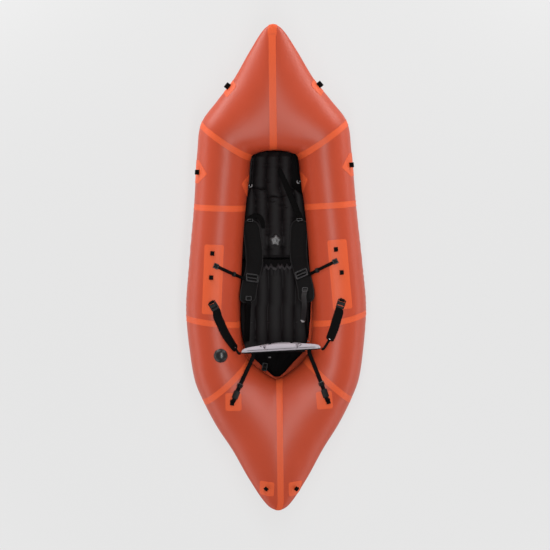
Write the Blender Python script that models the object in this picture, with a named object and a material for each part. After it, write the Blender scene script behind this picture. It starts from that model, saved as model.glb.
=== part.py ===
"""A one-person packraft: an inflated tube ring with a pointed bow and stern, a floor sheet, a rucksack and
air mat laid in the cockpit, a strapped foam backrest, and the valves, patches, loops and buckles on it.

Metres. +X is starboard, +Y the bow, +Z up. The origin is on the ground under the middle of the hull.
"""
import math

import bmesh
import bpy
from mathutils import Vector

# Hull, seen from above
hull_length = 2.400
hull_beam = 0.892
cockpit_length = 1.132
cockpit_width = 0.356
cockpit_ahead = 0.016
tube_height = 0.268
bow_rise = 0.110
stern_rise = 0.080
rocker_start_share = 0.28

# Sheet materials and clearances
fabric_wall = 0.0012
floor_thickness = 0.0015
tape_thickness = 0.0010
tape_width = 0.026
patch_thickness = 0.0010
touch_gap = 0.0003
running_gap = 0.0005
cut_overrun = 0.010

# Webbing
webbing_width = 0.020
webbing_thickness = 0.0018

# Each row is one station of the starboard tube, from the bow's centre line round to the stern's: the outer
# edge (shares of half the beam and half the length), the inner edge (shares of half the cockpit's width and
# length), the height (share of tube_height), how far the crest leans inboard, and how the outer end thins.
hull_row_shares = (
    (0.000, 1.0000, 0.000, 1.000, 1.00, 1.60, 0.50),
    (0.101, 0.9800, 0.056, 0.999, 1.00, 1.58, 0.48),
    (0.252, 0.8975, 0.169, 0.995, 1.00, 1.50, 0.40),
    (0.450, 0.7740, 0.326, 0.986, 1.00, 1.36, 0.24),
    (0.627, 0.6920, 0.466, 0.973, 1.00, 1.18, 0.10),
    (0.812, 0.5970, 0.635, 0.940, 0.99, 1.00, 0.00),
    (0.858, 0.4790, 0.697, 0.802, 0.98, 1.00, 0.00),
    (0.883, 0.3610, 0.753, 0.652, 0.97, 1.00, 0.00),
    (0.903, 0.2550, 0.815, 0.495, 0.97, 1.00, 0.00),
    (0.936, 0.1250, 0.888, 0.228, 0.98, 1.00, 0.00),
    (0.972, -0.0170, 0.949, -0.081, 0.99, 1.00, 0.00),
    (0.998, -0.1250, 0.989, -0.320, 1.00, 1.00, 0.00),
    (1.000, -0.2025, 1.000, -0.516, 1.00, 1.00, 0.00),
    (0.969, -0.3290, 0.966, -0.655, 1.00, 1.00, 0.00),
    (0.911, -0.4640, 0.888, -0.761, 1.00, 1.00, 0.00),
    (0.821, -0.5480, 0.775, -0.823, 1.00, 1.00, 0.00),
    (0.673, -0.6540, 0.590, -0.882, 1.00, 1.14, 0.08),
    (0.500, -0.7530, 0.382, -0.935, 1.00, 1.32, 0.22),
    (0.311, -0.8770, 0.202, -0.973, 0.99, 1.48, 0.36),
    (0.123, -0.9770, 0.056, -0.996, 0.98, 1.56, 0.44),
    (0.000, -1.0000, 0.000, -1.000, 0.98, 1.58, 0.46),
)
bow_centre_row = 0
bow_diagonal_row = 5
fore_row = 8
mid_row = 12
stern_diagonal_row = 15
stern_centre_row = 20
end_steps_per_row = 2
side_steps_per_row = 1
turn_steps = 20
turn_step = math.tau / turn_steps
tube_base = floor_thickness + touch_gap

port = -1
starboard = 1
sides = ((port, "port"), (starboard, "starboard"))


# Materials
def principled(name, colour, roughness, metallic=0.0):
    made = bpy.data.materials.new(name)
    made.use_nodes = True
    shader = made.node_tree.nodes["Principled BSDF"]
    shader.inputs["Base Color"].default_value = (*colour, 1.0)
    shader.inputs["Roughness"].default_value = roughness
    shader.inputs["Metallic"].default_value = metallic
    made.diffuse_color = (*colour, 1.0)
    return made


for leftover in list(bpy.data.objects):
    bpy.data.objects.remove(leftover)

hull_fabric = principled("hull_fabric", (0.42, 0.075, 0.035), 0.45)
tape_fabric = principled("tape_fabric", (0.72, 0.130, 0.045), 0.45)
black_nylon = principled("black_nylon", (0.012, 0.011, 0.012), 0.60)
black_webbing = principled("black_webbing", (0.010, 0.010, 0.010), 0.80)
black_plastic = principled("black_plastic", (0.014, 0.014, 0.015), 0.35)
grey_foam = principled("grey_foam", (0.40, 0.36, 0.39), 0.90)


# Mesh helpers
def solid(name, points, faces, material, smooth_angle=0.6):
    """One closed mesh object from points and faces, its faces turned outwards."""
    mesh = bpy.data.meshes.new(name)
    shape = bmesh.new()
    corners = [shape.verts.new(point) for point in points]
    for face in faces:
        shape.faces.new([corners[index] for index in face])
    bmesh.ops.remove_doubles(shape, verts=shape.verts, dist=touch_gap / 10)
    bmesh.ops.recalc_face_normals(shape, faces=shape.faces)
    if shape.calc_volume(signed=True) < 0:
        bmesh.ops.reverse_faces(shape, faces=shape.faces)
    shape.to_mesh(mesh)
    shape.free()
    mesh.shade_smooth()
    mesh.set_sharp_from_angle(angle=smooth_angle)
    mesh.materials.append(material)
    made = bpy.data.objects.new(name, mesh)
    bpy.context.scene.collection.objects.link(made)
    return made


def helper(made):
    """Marks an object as a cutter that the finished model leaves out."""
    made.hide_render = True
    made.display_type = "WIRE"
    return made


def boolean(target, other, operation):
    made = target.modifiers.new(f"{operation.lower()}_{other.name}", "BOOLEAN")
    made.operation = operation
    made.solver = "EXACT"
    made.object = other
    return target


def grid_triangles(rows, columns, base=0, wrapped=True):
    """Triangles of a grid of points. Every skin of the hull splits its cells along the same diagonal."""
    triangles = []
    for row in range(rows - 1):
        for column in range(columns if wrapped else columns - 1):
            beside = (column + 1) % columns
            here, there = base + row * columns, base + (row + 1) * columns
            triangles.append((here + column, here + beside, there + beside))
            triangles.append((here + column, there + beside, there + column))
    return triangles


def loft(name, loops, material, smooth_angle=0.6):
    """A solid through loops of equal count, with its two ends capped."""
    count = len(loops[0])
    points = [point for loop in loops for point in loop]
    faces = grid_triangles(len(loops), count)
    faces.append(tuple(range(count)))
    faces.append(tuple(range((len(loops) - 1) * count, len(loops) * count)))
    return solid(name, points, faces, material, smooth_angle)


class Spot:
    """A place with its own axes: along, across and out. Sizes given to at() are measured on them."""

    def __init__(self, origin, along, out):
        self.origin = Vector(origin)
        self.out = Vector(out).normalized()
        self.along = (Vector(along) - self.out * Vector(along).dot(self.out)).normalized()
        self.across = self.out.cross(self.along).normalized()

    def at(self, along, across, out):
        return self.origin + self.along * along + self.across * across + self.out * out

    def turned(self, angle):
        along = self.along * math.cos(angle) + self.across * math.sin(angle)
        return Spot(self.origin, along, self.out)

    def moved(self, along, across, out):
        return Spot(self.at(along, across, out), self.along, self.out)


def prism(name, spot, outline, low, high, material=None):
    """An outline of (along, across) points, extruded from low to high along the spot's out axis."""
    loops = [[spot.at(along, across, height) for along, across in outline] for height in (low, high)]
    return loft(name, loops, material or black_plastic)


def rectangle(length, width):
    along, across = length / 2, width / 2
    return ((-along, -across), (along, -across), (along, across), (-along, across))


def rounded_rectangle(length, width, radius, corner_steps=3):
    outline = []
    for quarter, (along, across) in enumerate(((1, 1), (-1, 1), (-1, -1), (1, -1))):
        for step in range(corner_steps + 1):
            angle = (quarter + step / corner_steps) * math.pi / 2
            outline.append((along * (length / 2 - radius) + radius * math.cos(angle),
                            across * (width / 2 - radius) + radius * math.sin(angle)))
    return outline


def circle(radius, count=24):
    return [(radius * math.cos(math.tau * step / count), radius * math.sin(math.tau * step / count))
            for step in range(count)]


# The hull's surface
def lerp(first, second, share):
    return first + (second - first) * share


def row_knots():
    """The distance along the outer edge at each row, so that the curves through uneven rows stay even."""
    knots = [0.0]
    for before, after in zip(hull_row_shares, hull_row_shares[1:]):
        step_x = (after[0] - before[0]) * hull_beam / 2
        step_y = (after[1] - before[1]) * hull_length / 2
        knots.append(knots[-1] + math.hypot(step_x, step_y))
    return knots


hull_knots = row_knots()
mirrored_columns = (0, 2)


def row_slope(row, column):
    """The slope of one column at a row. Past the centre lines the hull is its own mirror image."""
    last = len(hull_row_shares) - 1
    value = hull_row_shares[row][column]
    if row in (0, last):
        inward = 1 if row == 0 else last - 1
        if column not in mirrored_columns:
            return 0.0
        return (hull_row_shares[inward][column] - value) / (hull_knots[inward] - hull_knots[row])
    return ((hull_row_shares[row + 1][column] - hull_row_shares[row - 1][column])
            / (hull_knots[row + 1] - hull_knots[row - 1]))


def row_value(station, column):
    row = min(int(station), len(hull_row_shares) - 2)
    share = station - row
    span = hull_knots[row + 1] - hull_knots[row]
    first, second = hull_row_shares[row][column], hull_row_shares[row + 1][column]
    lead, trail = row_slope(row, column) * span, row_slope(row + 1, column) * span
    return ((2 * share**3 - 3 * share**2 + 1) * first + (share**3 - 2 * share**2 + share) * lead
            + (3 * share**2 - 2 * share**3) * second + (share**3 - share**2) * trail)


def outer_edge(station):
    return Vector((row_value(station, 0) * hull_beam / 2, row_value(station, 1) * hull_length / 2, 0))


def inner_edge(station):
    return Vector((row_value(station, 2) * cockpit_width / 2,
                   cockpit_ahead + row_value(station, 3) * cockpit_length / 2, 0))


def rocker(y):
    """How far the hull's ends lift off the ground at y."""
    past = abs(y) / (hull_length / 2) - rocker_start_share
    if past <= 0:
        return 0.0
    return (bow_rise if y > 0 else stern_rise) * (past / (1 - rocker_start_share)) ** 2


def across_share(station, turn):
    """How far from the inner to the outer edge a turn round the section lies."""
    return ((1 - math.cos(turn)) / 2) ** row_value(station, 5)


def bare_point(station, turn):
    """A point of the starboard tube. Turn 0 is the inner edge, a quarter the crest, a half the outer edge."""
    across = across_share(station, turn)
    point = inner_edge(station).lerp(outer_edge(station), across)
    half_height = row_value(station, 4) * tube_height / 2
    thinning = 1 - row_value(station, 6) * across**3
    point.z = tube_base + half_height + half_height * thinning * math.sin(turn) + rocker(point.y)
    return point


def hull_normal(station, turn):
    small = 0.001
    last = len(hull_row_shares) - 1
    low, high = max(station - small, 0), min(station + small, last)
    along = bare_point(high, turn) - bare_point(low, turn)
    around = bare_point(station, turn + small) - bare_point(station, turn - small)
    normal = along.cross(around)
    if station in (0, last):
        normal.x = 0
    if normal.length < 1e-12:
        normal = Vector((0, 1 if station == 0 else -1, 0))
    normal.normalize()
    return normal


def on_side(point, side):
    return Vector((point.x * side, point.y, point.z))


def hull_point(station, turn, lift=0.0, side=starboard):
    return on_side(bare_point(station, turn) + hull_normal(station, turn) * lift, side)


def tube_spot(side, station, across):
    """The place on top of a tube at a station, at a share of the way from its inner to its outer edge."""
    turn = math.acos(1 - 2 * across ** (1 / row_value(station, 5)))
    small = 0.01
    along = hull_point(station - small, turn, 0, side) - hull_point(station + small, turn, 0, side)
    return Spot(hull_point(station, turn, 0, side), along, on_side(hull_normal(station, turn), side))


def steps_after(row):
    """How many steps the tube takes from one row to the next: more round the ends than along the sides."""
    along_side = bow_diagonal_row <= row < stern_diagonal_row
    return side_steps_per_row if along_side else end_steps_per_row


def station_list(first, last):
    stations = [float(first)]
    for row in range(first, last):
        steps = steps_after(row)
        stations += [row + step / steps for step in range(1, steps + 1)]
    return stations


def turn_list(first_step, last_step):
    return [turn_step * step for step in range(first_step, last_step + 1)]


def seam_push(station, side):
    """The level direction square to the seam plane at a station, pointing towards the stern."""
    span = outer_edge(station) - inner_edge(station)
    push = Vector((span.y, -span.x, 0)).normalized()
    return on_side(push, side)


# Tube panels
def tube_panel(name, side, first_row, last_row):
    """One fabric panel: an open sleeve between two seams, with the air space inside it."""
    stations = station_list(first_row, last_row)
    turns = turn_list(0, turn_steps - 1)
    points = []
    for lift in (0.0, -fabric_wall):
        for station in stations:
            push = Vector()
            if station == first_row:
                push = seam_push(station, side) * touch_gap / 2
            if station == last_row:
                push = seam_push(station, side) * -touch_gap / 2
            points += [hull_point(station, turn, lift, side) + push for turn in turns]
    rows = len(stations)
    inside = rows * turn_steps
    faces = grid_triangles(rows, turn_steps) + grid_triangles(rows, turn_steps, inside)
    for rim in (0, (rows - 1) * turn_steps):
        for column in range(turn_steps):
            beside = (column + 1) % turn_steps
            faces.append((rim + column, rim + beside, inside + rim + beside, inside + rim + column))
    return solid(name, points, faces, hull_fabric, smooth_angle=0.9)


def hull_ring(name, lift):
    """The whole tube ring as one closed helper shape, swollen by lift."""
    turns = turn_list(0, turn_steps - 1)
    stations = station_list(0, len(hull_row_shares) - 1)
    points, faces = [], []
    for side in (port, starboard):
        faces += grid_triangles(len(stations), turn_steps, len(points))
        for station in stations:
            points += [hull_point(station, turn, lift, side) for turn in turns]
    return helper(solid(name, points, faces, hull_fabric))


panel_rows = {
    "bow": (bow_centre_row, bow_diagonal_row),
    "fore": (bow_diagonal_row, fore_row),
    "mid": (fore_row, mid_row),
    "aft": (mid_row, stern_diagonal_row),
    "stern": (stern_diagonal_row, stern_centre_row),
}
tube_panels = {}
for side, side_name in sides:
    for place, (first_row, last_row) in panel_rows.items():
        tube_panels[place, side] = tube_panel(f"tube_{place}_{side_name}", side, first_row, last_row)

skin_ring = hull_ring("skin_ring_cutter", touch_gap)
tape_ring = hull_ring("tape_ring_cutter", touch_gap + tape_thickness)
patch_ring = hull_ring("patch_ring_cutter", touch_gap + patch_thickness)
seat_ring = hull_ring("seat_ring_cutter", 2 * touch_gap + patch_thickness)


# Floor sheet
floor_edge_step = 12
floor_bottom_step = 15
spine_lean_share = 0.25


def floor_row(station):
    """Points and normals of the floor from its edge on the starboard tube in to the boat's centre line."""
    inner = inner_edge(station)
    lean = spine_lean_share * inner.x * row_value(station, 3)
    turns = turn_list(floor_edge_step, floor_bottom_step)
    points = [hull_point(station, turn) for turn in turns]
    normals = [hull_normal(station, turn) for turn in turns]
    spine = Vector((0, inner.y - lean, 0))
    middle = spine.lerp(points[-1], 0.5)
    for point in (middle, spine):
        point.z = tube_base + rocker(point.y)
        points.append(point)
        normals.append(Vector((0, 0, -1)))
    normals[-3] = normals[-1]
    return points, normals


def floor_sheet():
    rows = [floor_row(station) for station in station_list(0, len(hull_row_shares) - 1)]
    columns = len(rows[0][0])
    corners, faces = [], []
    for side in (port, starboard):
        base = len(corners)
        for height in (touch_gap, touch_gap + floor_thickness):
            faces += grid_triangles(len(rows), columns, len(corners), wrapped=False)
            for points, normals in rows:
                corners += [on_side(point + normal * height, side) for point, normal in zip(points, normals)]
        under = len(rows) * columns
        for row in range(len(rows) - 1):
            edge = base + row * columns
            faces.append((edge, edge + columns, under + edge + columns, under + edge))
    faces = [face for face in faces if len(face) == 4 or any(corners[index].x for index in face)]
    return solid("floor_sheet", corners, faces, hull_fabric)


floor_sheet()


# Shapes that lie on the tubes
def plan_spot(side, station, across, bearing=0.0):
    """An upright place on a tube, with its along axis towards the bow, turned by bearing."""
    origin = tube_spot(side, station, across).origin
    return Spot(origin, (0, 1, 0), (0, 0, 1)).turned(bearing)


def laid_shell(made, outer_ring, added=()):
    """Trims an upright prism to a sheet that lies on the tubes, with the added shapes standing on it."""
    boolean(made, outer_ring, "INTERSECT")
    for shape in added:
        boolean(made, helper(shape), "UNION")
    return boolean(made, skin_ring, "DIFFERENCE")


# Seam tapes
tape_drop_share = 0.70
tape_reach = 0.020


def seam_tape(name, side, row):
    """A tape over one cross seam, from low on the cockpit side over the top to low on the outer side."""
    inner, outer = on_side(inner_edge(row), side), on_side(outer_edge(row), side)
    for edge in (inner, outer):
        edge.z = tube_base + row_value(row, 4) * tube_height / 2 + rocker(edge.y)
    span = outer - inner
    spot = Spot((inner + outer) / 2, span, span.cross(Vector((0, 0, 1))).cross(span))
    drop = hull_point(row, 0).z - hull_point(row, turn_step * floor_edge_step).z
    drop += rocker(outer.y) - rocker(inner.y)
    laid_shell(prism(name, spot, rectangle(span.length + 2 * tape_reach, tape_width),
                     -drop * tape_drop_share, tube_height, tape_fabric), tape_ring)


seam_places = (("bow_diagonal", bow_diagonal_row), ("fore", fore_row), ("mid", mid_row),
               ("stern_diagonal", stern_diagonal_row))
for place, row in seam_places:
    for side, side_name in sides:
        seam_tape(f"seam_tape_{place}_{side_name}", side, row)
seam_tape("seam_tape_bow_centre", starboard, bow_centre_row)
seam_tape("seam_tape_stern_centre", starboard, stern_centre_row)


# Webbing
def strap(name, points, across, widths, thickness=webbing_thickness, material=None):
    """Flat webbing along points, with its width along across, and a width for each point."""
    loops = []
    for index, point in enumerate(points):
        before, after = points[max(index - 1, 0)], points[min(index + 1, len(points) - 1)]
        tangent = (after - before).normalized()
        aside = across[index] if isinstance(across, list) else across
        aside = (aside - tangent * aside.dot(tangent)).normalized()
        half, rise = aside * (widths[index] / 2), tangent.cross(aside) * (thickness / 2)
        loops.append([point - half - rise, point + half - rise, point + half + rise, point - half + rise])
    return loft(name, loops, material or black_webbing, smooth_angle=0.9)


def webbing_loop(name, spot, span, height, width, root_depth):
    """An arch of webbing over a span, its two feet running root_depth below the spot."""
    leg, bend = span / 2, height / 3
    path = ((-leg, -root_depth), (-leg, height - bend), (-leg + bend, height),
            (leg - bend, height), (leg, height - bend), (leg, -root_depth))
    points = [spot.at(along, 0, out) for along, out in path]
    return strap(name, points, spot.across, [width] * len(path))


# Patches with their loops. Places on the tubes are a station and a share of the way to the outer edge.
loop_root = 0.006
patch_depth = 0.030
patch_corner = 0.012
grab_span = 0.010
grab_height = 0.018
bow_patch_length = 0.076
bow_patch_width = 0.062
bow_loop_shares = {port: (3.30, 0.985), starboard: (3.29, 0.990)}
diamond_length = 0.118
diamond_depth = 0.045
diamond_wrap = 0.030
diamond_edge_share = 0.999
side_grab_shares = {port: (6.68, 0.940), starboard: (6.48, 0.940)}
tow_patch_length = 0.070
tow_patch_width = 0.058
tow_loop_shares = {port: (18.92, 0.880), starboard: (18.59, 0.940)}


def edge_loop(name, side, station, across, height=grab_height):
    """A loop that stands out from the tube, its opening running along the tube's edge."""
    spot = tube_spot(side, station, across)
    sideways = Spot(spot.origin, spot.across, spot.out)
    return webbing_loop(name, sideways, grab_span, height, webbing_width, loop_root)


for side, side_name in sides:
    station, across = bow_loop_shares[side]
    spot = tube_spot(side, station, across)
    base = Spot(spot.origin, spot.along, (0, 0, 1))
    patch = prism(f"grab_loop_bow_{side_name}", base,
                  rounded_rectangle(bow_patch_length, bow_patch_width, patch_corner),
                  -patch_depth, tube_height / 2, tape_fabric)
    laid_shell(patch, patch_ring, [edge_loop(f"grab_loop_bow_{side_name}_webbing", side, station, across)])

for side, side_name in sides:
    station, across = side_grab_shares[side]
    edge = tube_spot(side, station, diamond_edge_share)
    base = Spot(edge.origin, (0, 1, 0), (0, 0, 1))
    outline = [(along, -side * inward) for along, inward in (
        (0, -diamond_depth), (diamond_length * 0.36, -diamond_depth * 0.3), (diamond_length / 2, 0),
        (diamond_length / 2, diamond_wrap), (-diamond_length / 2, diamond_wrap), (-diamond_length / 2, 0),
        (-diamond_length * 0.36, -diamond_depth * 0.3))]
    patch = prism(f"grab_loop_side_{side_name}", base, outline, -patch_depth, tube_height / 2, tape_fabric)
    laid_shell(patch, patch_ring, [edge_loop(f"grab_loop_side_{side_name}_webbing", side, station, across)])

for side, side_name in sides:
    station, across = tow_loop_shares[side]
    spot = tube_spot(side, station, across)
    base = Spot(spot.origin, spot.along, (0, 0, 1))
    patch = prism(f"tow_loop_stern_{side_name}", base,
                  rounded_rectangle(tow_patch_length, tow_patch_width, patch_corner),
                  -patch_depth, tube_height / 2, tape_fabric)
    laid_shell(patch, patch_ring, [edge_loop(f"tow_loop_stern_{side_name}_webbing", side, station, across)])


side_patch_length = 0.344
side_patch_width = 0.096
deck_loop_span = 0.020
deck_loop_height = 0.012
anchor_width = 0.026
anchor_height = 0.0085
anchor_clearance = 0.0035
side_patch_shares = {port: (10.24, 0.524), starboard: (10.10, 0.551)}
side_patch_bearing = {port: 0.050, starboard: 0.075}
deck_loop_shares = {port: ((9.44, 0.560), (10.17, 0.552)), starboard: ((9.36, 0.516), (10.03, 0.582))}
lock_length = 0.044
lock_width = 0.040
lock_thickness = 0.005
lock_bar = 0.005
lock_slot = 0.007
lock_slot_width = 0.032
plate_corner = 0.003
front_lock_shares = {port: (11.27, 0.485), starboard: (11.25, 0.528)}
front_lock_bearing = {port: 0.56, starboard: 0.36}
fitting_lift = 2 * touch_gap + patch_thickness


def front_lock_spot(side):
    """The seat of a wing strap's ladder lock, its along axis towards the bow and out from the strap."""
    spot = tube_spot(side, *front_lock_shares[side]).turned(side * -front_lock_bearing[side])
    return spot.moved(0, 0, fitting_lift)


def side_patch(side, side_name):
    """The long patch amidships, with two grab loops and the anchor that a ladder lock hangs in."""
    base = plan_spot(side, *side_patch_shares[side], side * side_patch_bearing[side])
    patch = prism(f"side_patch_{side_name}", base,
                  rounded_rectangle(side_patch_length, side_patch_width, patch_corner),
                  -tube_height / 3, tube_height / 3, tape_fabric)
    added = []
    for number, place in enumerate(deck_loop_shares[side]):
        added.append(webbing_loop(f"deck_loop_{side_name}_{number}", tube_spot(side, *place), deck_loop_span,
                                  deck_loop_height, webbing_width, loop_root))
    lock = front_lock_spot(side)
    reach = anchor_clearance + lock_bar + lock_slot / 2
    middle = lock.moved(lock_length / 2 + (anchor_clearance - lock_bar - lock_slot / 2) / 2, 0, 0)
    added.append(webbing_loop(f"anchor_{side_name}", middle, reach, anchor_height, anchor_width, loop_root))
    laid_shell(patch, patch_ring, added)


def slotted_plate(name, spot, length, width, thickness, slots, depth=0.0, corner=plate_corner):
    """A buckle frame with slots across it. Each slot is (place along, width along, width across)."""
    plate = prism(name, spot, rounded_rectangle(length, width, corner), -depth, thickness, black_plastic)
    for number, (place, slot_length, slot_width) in enumerate(slots):
        cutter = prism(f"{name}_slot_{number}", spot.moved(place, 0, 0), rectangle(slot_length, slot_width),
                       -depth - cut_overrun, thickness + cut_overrun)
        boolean(plate, helper(cutter), "DIFFERENCE")
    return plate


for side, side_name in sides:
    side_patch(side, side_name)
    spot = front_lock_spot(side)
    first = lock_length / 2 - lock_bar - lock_slot / 2
    lock = slotted_plate(f"ladder_lock_front_{side_name}", spot, lock_length, lock_width, lock_thickness,
                         ((first, lock_slot, lock_slot_width), (-lock_length / 5, lock_bar, lock_slot_width)),
                         depth=lock_thickness)
    boolean(lock, seat_ring, "DIFFERENCE")

stern_patch_length = 0.088
stern_patch_width = 0.080
stern_loop_span = 0.012
stern_loop_height = 0.013
stern_patch_shares = {port: (16.10, 0.593), starboard: (15.86, 0.614)}
stern_patch_bearing = {port: 0.0, starboard: 0.07}
stern_loop_shares = {port: (16.045, 0.604), starboard: (15.78, 0.678)}


def stern_run(side):
    """The direction of a rear strap on its patch: from the tube's outer side in to the backrest."""
    place = tube_spot(side, *stern_loop_shares[side])
    target = on_side(inner_edge(stern_diagonal_row), side)
    return Spot(place.origin, target - place.origin, place.out)


for side, side_name in sides:
    base = plan_spot(side, *stern_patch_shares[side], side * stern_patch_bearing[side])
    patch = prism(f"strap_patch_stern_{side_name}", base,
                  rounded_rectangle(stern_patch_length, stern_patch_width, patch_corner),
                  -tube_height / 3, tube_height / 3, tape_fabric)
    loop = webbing_loop(f"strap_patch_loop_{side_name}", stern_run(side), stern_loop_span, stern_loop_height,
                        webbing_width, loop_root)
    laid_shell(patch, patch_ring, [loop])


# Main valve, on top of the port tube's aft panel
valve_place_share = (13.56, 0.432)
valve_flange_radius = 0.034
valve_flange_height = 0.006
valve_throat_radius = 0.0175
valve_bore_radius = 0.0140
valve_depth = 0.030
cap_radius = 0.0275
cap_height = 0.014
cap_plug_depth = 0.010
cap_row_shares = ((1.0, 0.0), (1.0, 0.45), (0.92, 0.75), (0.62, 0.95), (0.2, 1.0))
valve_sides = 32

valve_crest = tube_spot(port, *valve_place_share)
valve_spot = Spot(valve_crest.origin, (0, 1, 0), (0, 0, 1))


def main_valve():
    """The flange that is welded to the tube, with its throat through a hole in the fabric, and the cap."""
    base = prism("main_valve_base", valve_spot, circle(valve_flange_radius, valve_sides), -valve_depth / 2,
                 valve_flange_height)
    boolean(base, skin_ring, "DIFFERENCE")
    throat = prism("valve_throat", valve_spot, circle(valve_throat_radius, valve_sides), -valve_depth,
                   valve_flange_height / 2)
    bore = prism("valve_bore", valve_spot, circle(valve_bore_radius, valve_sides),
                 -valve_depth - cut_overrun, valve_flange_height + cut_overrun)
    boolean(base, helper(throat), "UNION")
    boolean(base, helper(bore), "DIFFERENCE")
    hole = prism("valve_hole", valve_spot, circle(valve_throat_radius + touch_gap, valve_sides),
                 -valve_depth - cut_overrun, cut_overrun)
    boolean(tube_panels["aft", port], helper(hole), "DIFFERENCE")
    seat = valve_flange_height + touch_gap
    plug_radius = valve_bore_radius - running_gap
    rings = [(plug_radius, seat - cap_plug_depth), (plug_radius, seat)]
    rings += [(cap_radius * width_share, seat + cap_height * height_share)
              for width_share, height_share in cap_row_shares]
    loft("main_valve_cap", [[valve_spot.at(along, across, height) for along, across in circle(radius)]
                            for radius, height in rings], black_plastic)


main_valve()


# Rucksack and air mats. Their rows are a place along the cockpit, a half width and a height, all shares.
bag_height = 0.028
bag_base = tube_base + 2 * touch_gap
bag_edge_share = 0.94
bag_row_shares = (
    (0.998, 0.50, 0.5), (0.975, 0.62, 1.0), (0.86, 0.74, 1.0), (0.66, 0.82, 1.0), (0.45, 0.89, 1.0),
    (0.20, 0.95, 1.0), (-0.10, 0.98, 1.0), (-0.45, 0.96, 1.0), (-0.64, 0.90, 1.0), (-0.78, 0.74, 0.9),
    (-0.86, 0.47, 0.7), (-0.94, 0.25, 0.5), (-0.986, 0.08, 0.3))
mat_base = bag_base + bag_height + touch_gap
mat_height = 0.056
mat_channels = 5
channel_steps = 4
channel_roundness = 0.7
valley_share = 0.62
side_tuck_share = 0.93
front_mat_row_shares = (
    (0.996, 0.46, 0.40), (0.984, 0.56, 0.70), (0.945, 0.64, 0.92), (0.84, 0.69, 1.0), (0.72, 0.735, 1.0),
    (0.58, 0.79, 1.0), (0.44, 0.84, 1.0), (0.30, 0.88, 1.0), (0.16, 0.91, 1.0), (0.085, 0.925, 0.95),
    (0.060, 0.925, 0.75), (0.050, 0.915, 0.45))
seat_row_shares = (
    (0.028, 0.905, 0.40), (0.014, 0.925, 0.72), (-0.02, 0.94, 0.95), (-0.10, 0.955, 1.0), (-0.22, 0.97, 1.0),
    (-0.34, 0.975, 1.0), (-0.46, 0.97, 1.0), (-0.56, 0.955, 1.0), (-0.635, 0.935, 1.0), (-0.675, 0.91, 1.0),
    (-0.765, 0.80, 1.0), (-0.772, 0.78, 0.5))
flat_row_start_share = -0.67


def cockpit_point(y_share):
    return cockpit_ahead + y_share * cockpit_length / 2


def bag_rise(y):
    """The lift of the rucksack's straight runs at y, which the mats on it share."""
    rows = [cockpit_point(row[0]) for row in bag_row_shares]
    for ahead, behind in zip(rows, rows[1:]):
        if y >= behind:
            break
    return lerp(rocker(behind), rocker(ahead), (y - behind) / (ahead - behind))


def bag_body():
    """The rucksack laid flat on the floor, from the cockpit's bow end to its tail under the backrest."""
    loops = []
    for y_share, width_share, height_share in bag_row_shares:
        y = cockpit_point(y_share)
        half, low = width_share * cockpit_width / 2, bag_base + rocker(y)
        high, inset = low + bag_height * height_share, half * bag_edge_share
        middle = (low + high) / 2
        loops.append([Vector(point) for point in (
            (-half, y, middle), (-inset, y, high), (inset, y, high), (half, y, middle),
            (inset, y, low), (-inset, y, low))])
    return loft("rucksack", loops, black_nylon)


def channel_height_share(share):
    """The height of the mat's top across its width: round air channels between the welds."""
    place = (share + 1) / 2 * mat_channels
    return valley_share + (1 - valley_share) * abs(math.sin(math.pi * place)) ** channel_roundness


def air_mat(name, row_shares):
    """An air mat with lengthwise channels, its sides drawn in towards its base."""
    columns = mat_channels * channel_steps
    loops = []
    for y_share, width_share, height_share in row_shares:
        y = cockpit_point(y_share)
        half, low = width_share * cockpit_width / 2, mat_base + bag_rise(y)
        loop = []
        for column in range(columns + 1):
            share = 2 * column / columns - 1
            top = 1.0 if y_share < flat_row_start_share else channel_height_share(share)
            loop.append(Vector((half * share, y, low + mat_height * height_share * top)))
        loop.append(Vector((half * side_tuck_share, y, low)))
        loop.append(Vector((-half * side_tuck_share, y, low)))
        loops.append(loop)
    return loft(name, loops, black_nylon)


bag_body()
front_mat = air_mat("front_mat", front_mat_row_shares)
seat_mat = air_mat("seat_mat", seat_row_shares)
mat_top = mat_base + mat_height

# The mat's own valve
mat_valve_y_share = 0.21
mat_valve_radius = 0.020
mat_valve_depth = 0.010
mat_knob_radius = 0.0225
mat_knob_lobe = 0.0055
mat_knob_height = 0.012
mat_knob_lobes = 5
lobe_steps = 8
mat_valve_spot = Spot((0, cockpit_point(mat_valve_y_share), mat_top), (0, 1, 0), (0, 0, 1))
pocket = prism("mat_valve_pocket", mat_valve_spot, circle(mat_valve_radius + touch_gap),
               -mat_valve_depth - touch_gap, cut_overrun)
boolean(front_mat, helper(pocket), "DIFFERENCE")
prism("mat_valve_base", mat_valve_spot, circle(mat_valve_radius), -mat_valve_depth, touch_gap)
knob_outline = []
for step in range(lobe_steps * mat_knob_lobes):
    angle = math.tau * step / (lobe_steps * mat_knob_lobes)
    radius = mat_knob_radius + mat_knob_lobe * math.cos(mat_knob_lobes * angle)
    knob_outline.append((radius * math.cos(angle), radius * math.sin(angle)))
prism("mat_valve_knob", mat_valve_spot, knob_outline, 2 * touch_gap, mat_knob_height)


# Shoulder pads, laid over the mats with their lower ends up on the tubes
pad_width = 0.082
pad_thickness = 0.016
pad_length = 0.405
pad_top_y = 0.235
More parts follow.
